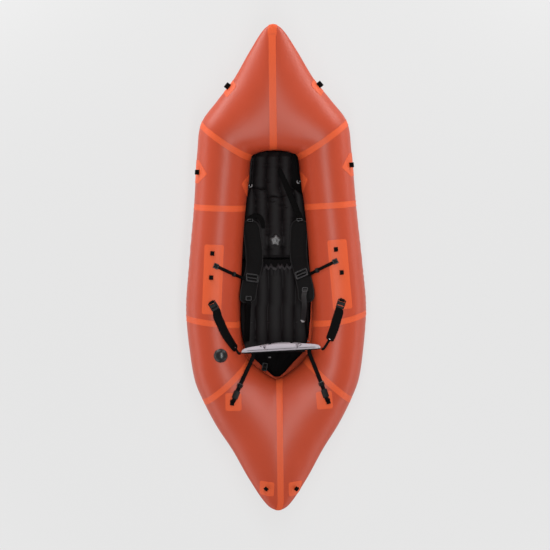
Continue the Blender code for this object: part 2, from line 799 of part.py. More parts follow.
# Each row is one section of a pad: how far down its length, its width, where its middle lies on the port and
# the starboard pad, how far it has climbed to the tube, how far it has rolled over, and how full it is.
pad_row_shares = (
    (0.00, 0.60, -0.70, 0.68, 0.00, 0.0, 0.70),
    (0.04, 0.86, -0.68, 0.67, 0.00, 0.0, 0.95),
    (0.19, 1.00, -0.64, 0.65, 0.01, 0.0, 1.0),
    (0.33, 1.00, -0.60, 0.63, 0.04, 0.0, 1.0),
    (0.48, 1.00, -0.59, 0.65, 0.15, 0.2, 1.0),
    (0.55, 1.00, -0.600, 0.680, 0.28, 0.6, 1.0),
    (0.60, 1.00, -0.625, 0.712, 0.40, 0.95, 1.0),
    (0.80, 1.00, -0.745, 0.820, 0.835, 0.95, 1.0),
    (0.88, 1.00, -0.775, 0.853, 0.95, 1.0, 1.0),
    (0.97, 0.82, -0.81, 0.855, 1.00, 1.0, 0.95),
    (1.00, 0.56, -0.815, 0.852, 1.00, 1.0, 0.70))
pad_roll = 0.40
pad_crown_shares = (
    (-1.0, 0.30), (-0.94, 0.86), (-0.5, 1.0), (0.0, 1.0), (0.5, 1.0), (0.94, 0.86), (1.0, 0.30),
    (0.94, 0.0), (0.0, 0.0), (-0.94, 0.0))


def tube_shoulder_height(x, y):
    """The height of the starboard tube's upper surface above a plan position beside the cockpit."""
    low, high = float(fore_row), float(stern_diagonal_row)
    for _ in range(30):
        middle = (low + high) / 2
        inner, span = inner_edge(middle), outer_edge(middle) - inner_edge(middle)
        behind = span.x * (y - inner.y) - span.y * (x - inner.x)
        low, high = (middle, high) if behind < 0 else (low, middle)
    inner, span = inner_edge(low), outer_edge(low) - inner_edge(low)
    across = max(0.0, (Vector((x, y, 0)) - inner).dot(span) / span.length_squared)
    turn = math.acos(1 - 2 * min(across, 1.0))
    return hull_point(low, turn).z


def pad_row(side, row):
    along, width_share, port_share, starboard_share, lift_share, roll_share, thick_share = row
    y = pad_top_y - along * pad_length
    x = (port_share if side == port else starboard_share) * cockpit_width / 2
    end_row = pad_row_shares[-2]
    end_x = abs(end_row[2] if side == port else end_row[3]) * cockpit_width / 2
    end_y = pad_top_y - end_row[0] * pad_length
    outer_x = end_x + pad_width / 2 * math.cos(pad_roll) + pad_thickness / 4
    resting = tube_shoulder_height(outer_x, end_y) + pad_thickness * 0.25
    end_z = resting - pad_width / 2 * math.sin(pad_roll)
    low = mat_top + 2 * touch_gap
    roll = pad_roll * roll_share
    return (Vector((x, y, low + lift_share * (end_z - low))),
            Vector((math.cos(roll), 0, side * math.sin(roll))), width_share, thick_share)


def shoulder_pad(name, side):
    loops = []
    rows = [pad_row(side, row) for row in pad_row_shares]
    for index, (place, aside, width_share, thick_share) in enumerate(rows):
        before, after = rows[max(index - 1, 0)][0], rows[min(index + 1, len(rows) - 1)][0]
        up = aside.cross(after - before).normalized() * -1
        half = pad_width / 2 * width_share
        loops.append([place + aside * (half * across) + up * (pad_thickness * thick_share * height)
                      for across, height in pad_crown_shares])
    return loft(name, loops, black_nylon)


def pad_spot(side, along_share, lift=0.0):
    """A place on top of a pad, its along axis towards the pad's top end."""
    for before, after in zip(pad_row_shares, pad_row_shares[1:]):
        if before[0] <= along_share <= after[0]:
            break
    share = (along_share - before[0]) / (after[0] - before[0])
    first, second = pad_row(side, before), pad_row(side, after)
    along = first[0] - second[0]
    up = along.cross(first[1].lerp(second[1], share)).normalized() * -1
    surface = up * (pad_thickness * lerp(first[3], second[3], share) + lift)
    return Spot(first[0].lerp(second[0], share) + surface, along, up)


slider_length = 0.040
slider_width = 0.064
slider_thickness = 0.004
slider_place_share = {port: 0.72, starboard: 0.68}
end_lock_length = 0.022
end_lock_width = 0.034
end_lock_place_share = {port: 0.955, starboard: 0.865}
slider_corner = 0.005
pad_fitting_lift = 2 * touch_gap
slider_lift = 5 * touch_gap
for side, side_name in sides:
    shoulder_pad(f"shoulder_pad_{side_name}", side)
    spot = pad_spot(side, slider_place_share[side], slider_lift)
    slot = (slider_length - 3 * lock_bar) / 2
    slotted_plate(f"tri_glide_{side_name}", spot, slider_length, slider_width, slider_thickness,
                  ((slot / 2 + lock_bar / 2, slot, slider_width - 2 * lock_bar),
                   (-slot / 2 - lock_bar / 2, slot, slider_width - 2 * lock_bar)), corner=slider_corner)
    spot = pad_spot(side, end_lock_place_share[side], pad_fitting_lift)
    slotted_plate(f"ladder_lock_pad_{side_name}", spot, end_lock_length, end_lock_width, slider_thickness,
                  ((0, lock_bar, end_lock_width - 2 * lock_bar),))


# Backrest
rest_width = 0.390
rest_height = 0.215
rest_offset = 0.022
rest_foot_share = -0.739
rest_lean = 0.03
rest_yaw = 0.045
shell_thickness = 0.005
shell_lip = 0.003
foam_edge = 0.008
foam_centre = 0.032
rest_row_shares = ((0.0, 0.62), (0.12, 0.65), (0.30, 0.65), (0.50, 0.70), (0.70, 0.80), (0.84, 0.97),
                   (0.94, 1.0), (1.0, 0.92))
foam_foot_share = 0.05
foam_round_share = 0.07
foam_rim_share = 0.35
# Each column of the foam is its place across and its depth, with a groove either side of the middle panel.
rest_column_shares = (
    (-1.0, 1.0), (-0.85, 1.0), (-0.60, 1.0), (-0.47, 1.0), (-0.42, 0.45), (-0.37, 1.0), (-0.20, 1.0),
    (0.0, 1.0), (0.20, 1.0), (0.37, 1.0), (0.42, 0.45), (0.47, 1.0), (0.60, 1.0), (0.85, 1.0), (1.0, 1.0))

yawed = Vector((math.cos(rest_yaw), math.sin(rest_yaw), 0))
backwards = Vector((math.sin(rest_yaw), -math.cos(rest_yaw), 0))
rest_up = Vector((0, 0, 1)) * math.cos(rest_lean) + backwards * math.sin(rest_lean)
mat_end_rise = bag_rise(cockpit_point(seat_row_shares[-1][0]))
rest_foot = Vector((rest_offset, cockpit_point(rest_foot_share), mat_top + mat_end_rise + 2 * touch_gap))
rest_foot.z += (shell_thickness + touch_gap) * math.sin(rest_lean)
rest_spot = Spot(rest_foot, rest_up, rest_up.cross(yawed))


def foam_depth(place_share, depth_share, height_share):
    """How far the foam stands out: fullest in the middle, and thinner towards its sides and its two ends."""
    bulge = math.sqrt(max(0.0, 1 - place_share**2))
    edge = min(1.0, min(height_share - foam_foot_share, 1 - height_share) / foam_round_share)
    return lerp(foam_edge, foam_centre, bulge) * depth_share * lerp(foam_rim_share, 1.0, edge)


def rest_at(across, height, out):
    """A point of the backrest, measured across from its middle, up from its foot and out from its shell."""
    return rest_spot.at(height, across, out)


def backrest_foam():
    loops = []
    for height_share, width_share in rest_row_shares:
        height_share = max(height_share, foam_foot_share)
        half, height = rest_width / 2 * width_share, rest_height * height_share
        front = [rest_at(half * place, height, foam_depth(place, depth, height_share))
                 for place, depth in rest_column_shares]
        back = [rest_at(half * place, height, 0) for place, _ in reversed(rest_column_shares)]
        loops.append(front + back)
    return loft("backrest_foam", loops, grey_foam)


def backrest_shell():
    """The stiff plate behind the foam, with a narrow lip all round it."""
    loops = []
    for height_share, width_share in rest_row_shares:
        half = rest_width / 2 * width_share + shell_lip
        height = rest_height * height_share + shell_lip * (height_share == 1.0)
        front, back = -touch_gap, -touch_gap - shell_thickness
        loops.append([rest_at(-half, height, front), rest_at(half, height, front),
                      rest_at(half * 0.96, height, back), rest_at(-half * 0.96, height, back)])
    return loft("backrest_shell", loops, black_nylon)


backrest_foam()
backrest_shell()


# Straps. Each ends face to face with what holds it.
over_tube_lift = 0.0060
wing_strap_width = 0.040
thin_strap_width = 0.012
wing_end_shares = {port: (13.50, 0.145), starboard: (12.90, 0.345)}
wing_width_shares = (0.75, 0.85, 1.0, 1.0, 1.0, 1.0, 0.7)
wing_step_shares = (0.22, 0.42, 0.62, 0.82, 1.0)
wing_tip_share = 0.92


def over_tube(side, first, last, share, lift=over_tube_lift):
    """A place over a tube, a share of the way between two places on it."""
    station, across = lerp(first[0], last[0], share), lerp(first[1], last[1], share)
    return tube_spot(side, station, across).moved(0, 0, lift)


def laid_strap(name, spots, widths):
    """Webbing through a list of places, lying flat against each place's own surface."""
    points = [spot.origin for spot in spots]
    across = []
    for index, spot in enumerate(spots):
        before, after = points[max(index - 1, 0)], points[min(index + 1, len(points) - 1)]
        across.append(spot.out.cross(after - before).normalized())
    return strap(name, points, across, widths)


def wing_strap(name, side):
    """A wide strap over a tube, from its ladder lock back to the edge of the backrest."""
    lock = front_lock_spot(side)
    spots = [lock.moved(-lock_length / 2 - clear, 0, lock_thickness / 2) for clear in (touch_gap, lock_slot)]
    spots += [over_tube(side, front_lock_shares[side], wing_end_shares[side], share)
              for share in wing_step_shares]
    half = rest_width / 2 + shell_lip + touch_gap
    for reach in (half + thin_strap_width, half):
        tip = rest_at(side * reach, rest_height * wing_tip_share, -touch_gap - shell_thickness / 2)
        spots.append(Spot(tip, yawed, rest_up))
    widths = [wing_strap_width * share for share in wing_width_shares] + [thin_strap_width] * 2
    return laid_strap(name, spots, widths)


rear_width = 0.020
rear_lift = 0.0075
rear_buckle_length = 0.042
rear_buckle_width = 0.030
rear_buckle_thickness = 0.008
rear_buckle_travel = 0.012
rear_buckle_offset_shares = {port: (-0.096, -0.121), starboard: (-0.152, -0.116)}
rear_start_share = 0.715
rear_start_height_share = 0.82
strap_clearance = 0.0006


def rear_buckle_spot(side):
    """The middle of a rear strap's straight run over the tube, along it towards the backrest."""
    station, across = map(sum, zip(stern_loop_shares[side], rear_buckle_offset_shares[side]))
    place = tube_spot(side, station, across)
    run = rear_start(side) - stern_run(side).origin
    return Spot(place.at(0, 0, rear_lift), run, place.out)


def rear_start(side, clear=0.0):
    """Where a rear strap leaves the back of the backrest, or a point straight out from there."""
    return rest_at(side * rest_width / 2 * rear_start_share, rest_height * rear_start_height_share,
                   -2 * touch_gap - shell_thickness - clear)


def rear_strap(name, side):
    """A strap from the back of the backrest over the stern tube to the loop on its patch."""
    start, middle, run = rear_start(side), rear_buckle_spot(side), stern_run(side)
    reach = rear_buckle_length / 2 + rear_buckle_travel
    edge = (stern_loop_span + webbing_thickness) / 2
    bend, end = [run.at(edge + clear, 0, fitting_lift + 2 * webbing_thickness)
                 for clear in (webbing_width / 2, 2 * touch_gap)]
    points = [start, rear_start(side, rear_width), middle.at(reach, 0, 0), middle.at(-reach, 0, 0), bend, end]
    level = yawed if yawed.dot(middle.across) > 0 else -yawed
    across = [level] * 2 + [middle.across] * 2 + [run.across] * 2
    return strap(name, points, across, [rear_width] * len(points))


def rear_buckle(name, side):
    """A buckle that slides on the straight run of a rear strap."""
    spot = rear_buckle_spot(side)
    half = rear_buckle_thickness / 2
    body = prism(name, spot, rounded_rectangle(rear_buckle_length, rear_buckle_width, lock_bar), -half, half)
    passage = webbing_thickness / 2 + strap_clearance
    channel = prism(f"{name}_channel", spot, rectangle(rear_buckle_length + cut_overrun,
                    rear_width + 2 * strap_clearance), -passage, passage)
    return boolean(body, helper(channel), "DIFFERENCE")


tether_width = 0.013
tether_start_shares = {port: (9.80, 0.480), starboard: (9.70, 0.488)}
tether_crest_shares = {port: (10.02, 0.150), starboard: (9.93, 0.150)}
tether_shoulder_shares = {port: (10.11, 0.045), starboard: (10.01, 0.045)}
tether_step_shares = (0.25, 0.5, 0.75, 1.0)


def pad_tether(name, side):
    """A narrow strap from the side patch over the tube's shoulder to the tri-glide on the pad."""
    first, last = tether_start_shares[side], tether_crest_shares[side]
    spot = pad_spot(side, slider_place_share[side], slider_lift)
    bend, tip = [spot.at(0, -side * (slider_width / 2 + clear), slider_thickness / 2)
                 for clear in (tether_width, 2 * touch_gap)]
    start = tube_spot(side, *first)
    points = [start.at(0, 0, fitting_lift + webbing_thickness / 2)]
    points += [over_tube(side, first, last, share).origin for share in tether_step_shares]
    points.append(tube_spot(side, *tether_shoulder_shares[side]).at(0, 0, over_tube_lift))
    points += [bend, tip]
    return strap(name, points, start.along, [tether_width] * len(points))


lifter_width = 0.022
lifter_lift = 0.0030
# The places of each load lifter on the front mat, from its free end to the bend before the pad
lifter_shares = {
    port: ((-0.335, 0.315), (-0.355, 0.37), (-0.43, 0.415), (-0.56, 0.425)),
    starboard: ((0.14, 0.83), (0.32, 0.69), (0.50, 0.55))}


def load_lifter(name, side):
    """A strap over the front mat to the top end of a shoulder pad."""
    top, aside, _, _ = pad_row(side, pad_row_shares[0])
    end = top + Vector((0, 2 * touch_gap, pad_thickness * 0.35))
    points = []
    for x_share, y_share in lifter_shares[side]:
        y = cockpit_point(y_share)
        points.append(Vector((x_share * cockpit_width / 2, y, mat_top + bag_rise(y) + lifter_lift)))
    points += [end + Vector((0, lifter_width / 2, 0)), end]
    across = []
    for index, point in enumerate(points):
        before, after = points[max(index - 1, 0)], points[min(index + 1, len(points) - 1)]
        across.append((after - before).cross(Vector((0, 0, 1))).normalized())
    return strap(name, points, across, [lifter_width] * len(points))


adjuster_width = {port: 0.026, starboard: 0.020}
adjuster_end_shares = {port: (-0.82, -0.672), starboard: (0.86, -0.645)}
adjuster_step_shares = (0.0, 0.35, 0.75, 1.0)
tail_place_share = 1.02


def adjuster_strap(name, side):
    """A strap from the buckle at a pad's lower end down to the corner of the seat mat."""
    lock = pad_spot(side, end_lock_place_share[side], pad_fitting_lift)
    start = lock.at(-end_lock_length / 2 - touch_gap, 0, slider_thickness / 2)
    tail = lock.at(-pad_length * (tail_place_share - end_lock_place_share[side]), 0, slider_thickness / 2)
    x_share, y_share = adjuster_end_shares[side]
    end = Vector((x_share * cockpit_width / 2, cockpit_point(y_share), mat_top + 2 * lifter_lift))
    points = [start] + [tail.lerp(end, share) for share in adjuster_step_shares]
    return strap(name, points, lock.across, [adjuster_width[side]] * len(points))


for side, side_name in sides:
    wing_strap(f"wing_strap_{side_name}", side)
    rear_strap(f"rear_strap_{side_name}", side)
    rear_buckle(f"rear_buckle_{side_name}", side)
    pad_tether(f"pad_tether_{side_name}", side)
    load_lifter(f"load_lifter_{side_name}", side)
    adjuster_strap(f"adjuster_strap_{side_name}", side)
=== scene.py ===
import functools
import math

import bmesh
import bpy
from mathutils import Matrix, Vector, noise


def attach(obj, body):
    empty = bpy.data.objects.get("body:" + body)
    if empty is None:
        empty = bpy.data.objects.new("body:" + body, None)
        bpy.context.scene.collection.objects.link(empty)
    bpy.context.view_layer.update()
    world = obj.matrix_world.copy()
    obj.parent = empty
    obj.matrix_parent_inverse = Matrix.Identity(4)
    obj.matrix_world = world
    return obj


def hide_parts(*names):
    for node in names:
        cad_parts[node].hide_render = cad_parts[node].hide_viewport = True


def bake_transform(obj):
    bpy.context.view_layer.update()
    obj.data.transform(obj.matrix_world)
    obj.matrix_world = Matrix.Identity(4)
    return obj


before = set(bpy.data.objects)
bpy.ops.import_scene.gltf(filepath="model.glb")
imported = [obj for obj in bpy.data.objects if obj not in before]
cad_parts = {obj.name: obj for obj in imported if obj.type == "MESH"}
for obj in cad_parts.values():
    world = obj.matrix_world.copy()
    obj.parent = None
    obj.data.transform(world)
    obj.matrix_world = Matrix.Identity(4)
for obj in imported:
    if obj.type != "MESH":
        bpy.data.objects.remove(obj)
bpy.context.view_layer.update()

PORT, STARBOARD = -1, 1
SIDES = ((PORT, "port"), (STARBOARD, "starboard"))
UP = Vector((0, 0, 1))

# The photograph's scale: metres to a pixel, its width, and the pixel over the model's origin
PIXEL = 0.004953
PHOTO_WIDTH = 550
PHOTO_MIDDLE = (276.2, 267.5)

# The hull's driving sizes and rows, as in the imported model
HULL_LENGTH, HULL_BEAM = 2.400, 0.892
COCKPIT_LENGTH, COCKPIT_WIDTH, COCKPIT_AHEAD = 1.132, 0.356, 0.016
TUBE_HEIGHT = 0.268
BOW_RISE, STERN_RISE, ROCKER_START = 0.110, 0.080, 0.28
TUBE_BASE = 0.0018
# A row is the outer edge's x and y, the inner edge's x and y, the height, the crest's lean and the thinning
HULL_ROWS = (
    (0.000, 1.0000, 0.000, 1.000, 1.00, 1.60, 0.50),
    (0.101, 0.9800, 0.056, 0.999, 1.00, 1.58, 0.48),
    (0.252, 0.8975, 0.169, 0.995, 1.00, 1.50, 0.40),
    (0.450, 0.7740, 0.326, 0.986, 1.00, 1.36, 0.24),
    (0.627, 0.6920, 0.466, 0.973, 1.00, 1.18, 0.10),
    (0.812, 0.5970, 0.635, 0.940, 0.99, 1.00, 0.00),
    (0.858, 0.4790, 0.697, 0.802, 0.98, 1.00, 0.00),
    (0.883, 0.3610, 0.753, 0.652, 0.97, 1.00, 0.00),
    (0.903, 0.2550, 0.815, 0.495, 0.97, 1.00, 0.00),
    (0.936, 0.1250, 0.888, 0.228, 0.98, 1.00, 0.00),
    (0.972, -0.0170, 0.949, -0.081, 0.99, 1.00, 0.00),
    (0.998, -0.1250, 0.989, -0.320, 1.00, 1.00, 0.00),
    (1.000, -0.2025, 1.000, -0.516, 1.00, 1.00, 0.00),
    (0.969, -0.3290, 0.966, -0.655, 1.00, 1.00, 0.00),
    (0.911, -0.4640, 0.888, -0.761, 1.00, 1.00, 0.00),
    (0.821, -0.5480, 0.775, -0.823, 1.00, 1.00, 0.00),
    (0.673, -0.6540, 0.590, -0.882, 1.00, 1.14, 0.08),
    (0.500, -0.7530, 0.382, -0.935, 1.00, 1.32, 0.22),
    (0.311, -0.8770, 0.202, -0.973, 0.99, 1.48, 0.36),
    (0.123, -0.9770, 0.056, -0.996, 0.98, 1.56, 0.44),
    (0.000, -1.0000, 0.000, -1.000, 0.98, 1.58, 0.46),
)
LAST_ROW = len(HULL_ROWS) - 1
SEAM_ROWS = {"bow_centre": 0, "bow_diagonal": 5, "fore": 8, "mid": 12, "stern_diagonal": 15,
             "stern_centre": 20}
PANEL_ROWS = {"bow": (0, 5), "fore": (5, 8), "mid": (8, 12), "aft": (12, 15), "stern": (15, 20)}
WEBBING_THICKNESS = 0.0018


# Materials
GRAIN_SCALE, GRAIN_DEPTH = 700.0, 0.0001
WAVE_PERIOD = math.tau / 20


def node(tree, kind, inputs=None, **settings):
    made = tree.nodes.new(kind)
    for name, value in settings.items():
        setattr(made, name, value)
    for name, value in (inputs or {}).items():
        if isinstance(value, bpy.types.NodeSocket):
            tree.links.new(value, made.inputs[name])
        else:
            made.inputs[name].default_value = value
    return made


def mixed(tree, share, first, second, **settings):
    """The colour output of a node that mixes two colours."""
    return node(tree, "ShaderNodeMixRGB", {"Fac": share, "Color1": first, "Color2": second},
                **settings).outputs["Color"]


def shade(colour, factor):
    return tuple(min(1.0, channel * factor) for channel in colour) + (1.0,)


def finish(name, colour, roughness, mottle=0.06, mottle_scale=9.0, pitch=None, relief=0.0002, ribs=0.0,
           specular=0.5, sheen=0.0, metallic=0.0, edge_highlight=0.0):
    """A procedural material: mottled colour, a weave on the UVs or a moulded grain, uneven gloss, and edges
    that may be lightened as a painted highlight.
    """
    made = bpy.data.materials.new(name)
    made.use_nodes = True
    tree = made.node_tree
    shader = tree.nodes["Principled BSDF"]
    place = node(tree, "ShaderNodeTexCoord")
    patchy = node(tree, "ShaderNodeTexNoise", {"Vector": place.outputs["Object"], "Scale": mottle_scale,
                                               "Detail": 5.0, "Roughness": 0.6}).outputs["Fac"]
    tone = mixed(tree, patchy, shade(colour, 1 - mottle), shade(colour, 1 + mottle))
    if pitch:
        waves = [node(tree, "ShaderNodeTexWave", {
            "Vector": place.outputs["UV"], "Scale": WAVE_PERIOD / pitch, "Distortion": 0.6, "Detail": 1.0,
            "Detail Scale": 2.0}, bands_direction=direction).outputs["Fac"] for direction in "XY"]
        across = node(tree, "ShaderNodeMath", {0: waves[0], 1: 1.0 - ribs}, operation="MULTIPLY")
        woven = node(tree, "ShaderNodeMath", {0: across.outputs[0], 1: waves[1]}, operation="MAXIMUM")
        height = woven.outputs[0]
        threads = mixed(tree, height, (0.72, 0.72, 0.72, 1), (1.12, 1.12, 1.12, 1))
        tone = mixed(tree, 1.0, tone, threads, blend_type="MULTIPLY")
    else:
        height = node(tree, "ShaderNodeTexNoise", {"Vector": place.outputs["Object"], "Scale": GRAIN_SCALE,
                                                   "Detail": 3.0}).outputs["Fac"]
    # Pointy edges lightened: a painted highlight along the edges
    if edge_highlight:
        edges = node(tree, "ShaderNodeNewGeometry")
        rim = node(tree, "ShaderNodeMapRange", {"Value": edges.outputs["Pointiness"], "From Min": 0.52,
                                                "From Max": 0.62, "To Max": edge_highlight})
        tone = mixed(tree, rim.outputs["Result"], tone, shade(colour, 6.0))
    gloss = node(tree, "ShaderNodeMapRange", {"Value": patchy, "To Min": roughness - 0.05,
                                              "To Max": roughness + 0.05})
    bump = node(tree, "ShaderNodeBump", {"Height": height, "Distance": relief if pitch else GRAIN_DEPTH,
                                         "Strength": 0.6})
    for socket, value in (("Base Color", tone), ("Roughness", gloss.outputs["Result"]),
                          ("Normal", bump.outputs["Normal"])):
        tree.links.new(value, shader.inputs[socket])
    for socket, value in (("Specular IOR Level", specular), ("Metallic", metallic), ("Sheen Weight", sheen)):
        shader.inputs[socket].default_value = value
    return made


HULL = finish("hull_fabric", (0.480, 0.058, 0.021), 0.40, mottle=0.05, mottle_scale=5.0, pitch=0.0011,
              relief=0.00006, specular=0.38)
# The floor sheet is the tubes' fabric painted brighter than the hull: painted light that lifts the shade in
# the cockpit
FLOOR_PAINTED_LIGHT = finish("floor_fabric_painted_light", (0.780, 0.098, 0.034), 0.60, pitch=0.0011, relief=0.00006, specular=0.15)
TAPE = finish("tape_fabric", (0.700, 0.100, 0.030), 0.48, mottle=0.04, pitch=0.0011, relief=0.00005,
              specular=0.28)
NYLON = finish("pack_nylon", (0.0074, 0.0062, 0.0068), 0.60, mottle=0.25, pitch=0.0012, relief=0.00012,
               specular=0.18)
# The rucksack's cloth is the pack nylon painted darker, with little gloss: painted shade for the deep shadow
# it lies in between the mats and the tubes. The seat mat's flange wears it too
SHADED_BAG_CLOTH = finish("bag_cloth_painted_shade", (0.0036, 0.0032, 0.0034), 0.62, mottle=0.25, pitch=0.0012, relief=0.00012,
                   specular=0.04)
PAD_CLOTH = finish("pad_cloth", (0.0031, 0.0029, 0.0031), 0.75, mottle=0.15, pitch=0.0022, relief=0.0004,
                   specular=0.14, sheen=0.05)
BINDING = finish("pad_binding", (0.0120, 0.0115, 0.0120), 0.62, pitch=0.0012, relief=0.00015, specular=0.26)
WEBBING = finish("webbing", (0.0017, 0.0015, 0.0016), 0.66, mottle=0.12, pitch=0.0018, relief=0.0004,
                 ribs=0.5, specular=0.07)
# A lighter copy of the black webbing for the adjuster's loose end: painted light where it catches the lamps
TAIL_WEBBING_PAINTED_LIGHT = finish("tail_webbing_painted_light", (0.015, 0.0135, 0.0143), 0.58, mottle=0.10, pitch=0.0018,
                      relief=0.0003, ribs=0.5, specular=0.35)
# A pale grey for the free tail's pale tip, and for small marks on the rucksack that are painted glints
PALE_TIP_AND_GLINT = finish("pale_tip_and_glint", (0.26, 0.25, 0.26), 0.55, mottle=0.10, pitch=0.0010, relief=0.0001)
PLASTIC = finish("buckle_plastic", (0.0050, 0.0048, 0.0050), 0.46, mottle=0.10, specular=0.14)
# The hooks' pale grey is a painted highlight on black plastic hooks
HOOK_HIGHLIGHT_GREY = finish("hook_painted_highlight", (0.30, 0.30, 0.31), 0.32, mottle=0.10, edge_highlight=0.10)
VALVE = finish("valve_rubber", (0.0100, 0.0092, 0.0096), 0.29, mottle=0.55, mottle_scale=60.0)
KNOB = finish("knob_plastic", (0.046, 0.044, 0.046), 0.30, mottle=0.25, mottle_scale=60.0, specular=0.4)
# A pale grey for thin loops laid on the buckles as painted highlights along their edges
HIGHLIGHT_LOOP_GREY = finish("painted_highlight_rim", (0.080, 0.078, 0.082), 0.40, mottle=0.08)
METAL = finish("fitting_metal", (0.60, 0.60, 0.62), 0.25, mottle=0.05, metallic=1.0)
# The tri-glides' plastic, its edges lightened as painted highlight
GLIDE = finish("glide_plastic", (0.0085, 0.0083, 0.0088), 0.32, mottle=0.10, edge_highlight=0.5)
# A lighter grey of the mat's cloth for the gathered teeth and the tack marks: painted highlights
WELD_HIGHLIGHT = finish("weld_painted_highlight", (0.026, 0.023, 0.025), 0.55, mottle=0.30, mottle_scale=60.0, specular=0.2)
FOAM = finish("foam_cover", (0.398, 0.362, 0.396), 0.85, mottle=0.05, mottle_scale=40.0, pitch=0.0016,
              specular=0.2)


# Numbers and curves
def lerp(first, second, share):
    return first + (second - first) * share


def spread(first, last, count):
    return [lerp(first, last, step / (count - 1)) for step in range(count)]


def smooth_step(share):
    share = min(max(share, 0.0), 1.0)
    return share * share * (3 - 2 * share)


def bell(value, width):
    return math.exp(-(value / width) ** 2)


def rows_round(rows, place):
    """The neighbouring rows round a place, by their first values, and its share of the way between them."""
    for before, after in zip(rows, rows[1:]):
        if (place - after[0]) * (after[0] - before[0]) <= 0:
            break
    return before, after, (place - before[0]) / (after[0] - before[0])


def curve_through(points, steps):
    """Points of a smooth curve through the given ones."""
    ends = [points[0] * 2 - points[1], *points, points[-1] * 2 - points[-2]]
    made = []
    for index in range(1, len(ends) - 2):
        a, b, c, d = ends[index - 1:index + 3]
        for step in range(steps):
            t = step / steps
            made.append(0.5 * (2 * b + (c - a) * t + (2 * a - 5 * b + 4 * c - d) * t**2
                               + (3 * b - a - 3 * c + d) * t**3))
    return made + [points[-1].copy()]


def photo_x(pixel):
    return (pixel - PHOTO_MIDDLE[0]) * PIXEL


def photo_y(pixel):
    return (PHOTO_MIDDLE[1] - pixel) * PIXEL


class Spot:
    """A place with its own axes: along, across and out."""

    def __init__(self, origin, along, out):
        self.origin = Vector(origin)
        self.out = Vector(out).normalized()
        self.along = (Vector(along) - self.out * Vector(along).dot(self.out)).normalized()
        self.across = self.out.cross(self.along).normalized()

    def at(self, along, across, out):
        return self.origin + self.along * along + self.across * across + self.out * out

    def turned(self, angle):
        return Spot(self.origin, self.along * math.cos(angle) + self.across * math.sin(angle), self.out)

    def moved(self, along, across, out):
        return Spot(self.at(along, across, out), self.along, self.out)


# Meshes
def build(name, points, faces, material, body="root", uvs=None, replaced=(), slot=None, smooth_angle=0.9):
    """A mesh piece that rides on a body, with its UVs in metres, and may stand for some nodes."""
    mesh = bpy.data.meshes.new(name)
    mesh.from_pydata([tuple(point) for point in points], [], faces)
    if uvs:
        layer = mesh.uv_layers.new(name="UVMap")
        for loop in mesh.loops:
            layer.data[loop.index].uv = uvs[loop.vertex_index]
    mesh.shade_smooth()
    mesh.set_sharp_from_angle(angle=smooth_angle)
    mesh.materials.append(material)
    made = bpy.data.objects.new(name, mesh)
    bpy.context.scene.collection.objects.link(made)
    if body:
        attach(made, body)
    if replaced:
        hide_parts(*replaced)
    return made


def grid_faces(rows, columns, base=0, wrapped=False, flipped=False):
    faces = []
    for row in range(rows - 1):
        for column in range(columns if wrapped else columns - 1):
            beside = (column + 1) % columns
            here, there = base + row * columns, base + (row + 1) * columns
            face = (here + column, there + column, there + beside, here + beside)
            faces.append(face[::-1] if flipped else face)
    return faces


def flat(rows):
    """The points and the UVs of rows of (point, UV) pairs."""
    pairs = [pair for row in rows for pair in row]
    return [point for point, _ in pairs], [uv for _, uv in pairs]


def sheet(name, rows, material, flipped=False, **settings):
    """An open sheet through rows of (point, UV) pairs."""
    points, uvs = flat(rows)
    return build(name, points, grid_faces(len(rows), len(rows[0]), flipped=flipped), material, uvs=uvs,
                 **settings)


def loft(name, rings, material, ends=True, **settings):
    """A closed piece through rings of (point, UV) pairs, its faces turned outwards."""
    points, uvs = flat(rings)
    count = len(rings[0])
    faces = grid_faces(len(rings), count, wrapped=True)
    if ends:
        faces += [tuple(range(count)), tuple(reversed(range(len(points) - count, len(points))))]
    return outward(build(name, points, faces, material, uvs=uvs, **settings))


def outward(made):
    """Turns a closed piece's faces outwards."""
    volume = 0.0
    for polygon in made.data.polygons:
        corners = [made.data.vertices[index].co for index in polygon.vertices]
        for second, third in zip(corners[1:], corners[2:]):
            volume += corners[0].dot(second.cross(third))
    if volume < 0:
        made.data.flip_normals()
    return made


def face_up(made):
    """Turns an open sheet's faces so that most of them look up."""
    if sum(polygon.normal.z * polygon.area for polygon in made.data.polygons) < 0:
        made.data.flip_normals()


def face_along(made, direction):
    """Turns an open sheet's faces so that its middle one looks along a direction."""
    if made.data.polygons[len(made.data.polygons) // 2].normal.dot(direction) < 0:
        made.data.flip_normals()


# The hull's surface
STATION_STEP, SMALL = 0.01, 0.001
SKIN_SINK = 0.0008
# How far each seam lies ahead of its plain line: halfway up the tube's top, and at its outer end
SEAM_SAGS = {
    ("bow_diagonal", PORT): (-0.022, 0.0), ("bow_diagonal", STARBOARD): (-0.016, 0.0),
    ("fore", PORT): (-0.008, 0.0), ("fore", STARBOARD): (0.0, 0.008),
    ("mid", PORT): (-0.015, 0.0), ("mid", STARBOARD): (-0.012, 0.016),
    ("stern_diagonal", PORT): (-0.026, 0.0), ("stern_diagonal", STARBOARD): (-0.011, 0.0)}
# How far the two centre seams stand to starboard of the middle on the tube's top
CENTRE_SHIFTS = {0: -0.005, LAST_ROW: 0.012}
SEAM_DEPTH, SEAM_WIDTH = 0.0012, 0.014
DENT_DEPTH = 0.0012
RIPPLE_SPANS = {PORT: (0.36, -0.30), STARBOARD: (0.40, -0.36)}
RIPPLE_PITCH, RIPPLE_DEPTH, RIPPLE_FADE, RIPPLE_TURN = 0.0265, 0.0013, 0.10, 0.42


def row_knots():
    knots = [0.0]
    for before, after in zip(HULL_ROWS, HULL_ROWS[1:]):
        knots.append(knots[-1] + math.hypot((after[0] - before[0]) * HULL_BEAM / 2,
                                            (after[1] - before[1]) * HULL_LENGTH / 2))
    return knots


KNOTS = row_knots()


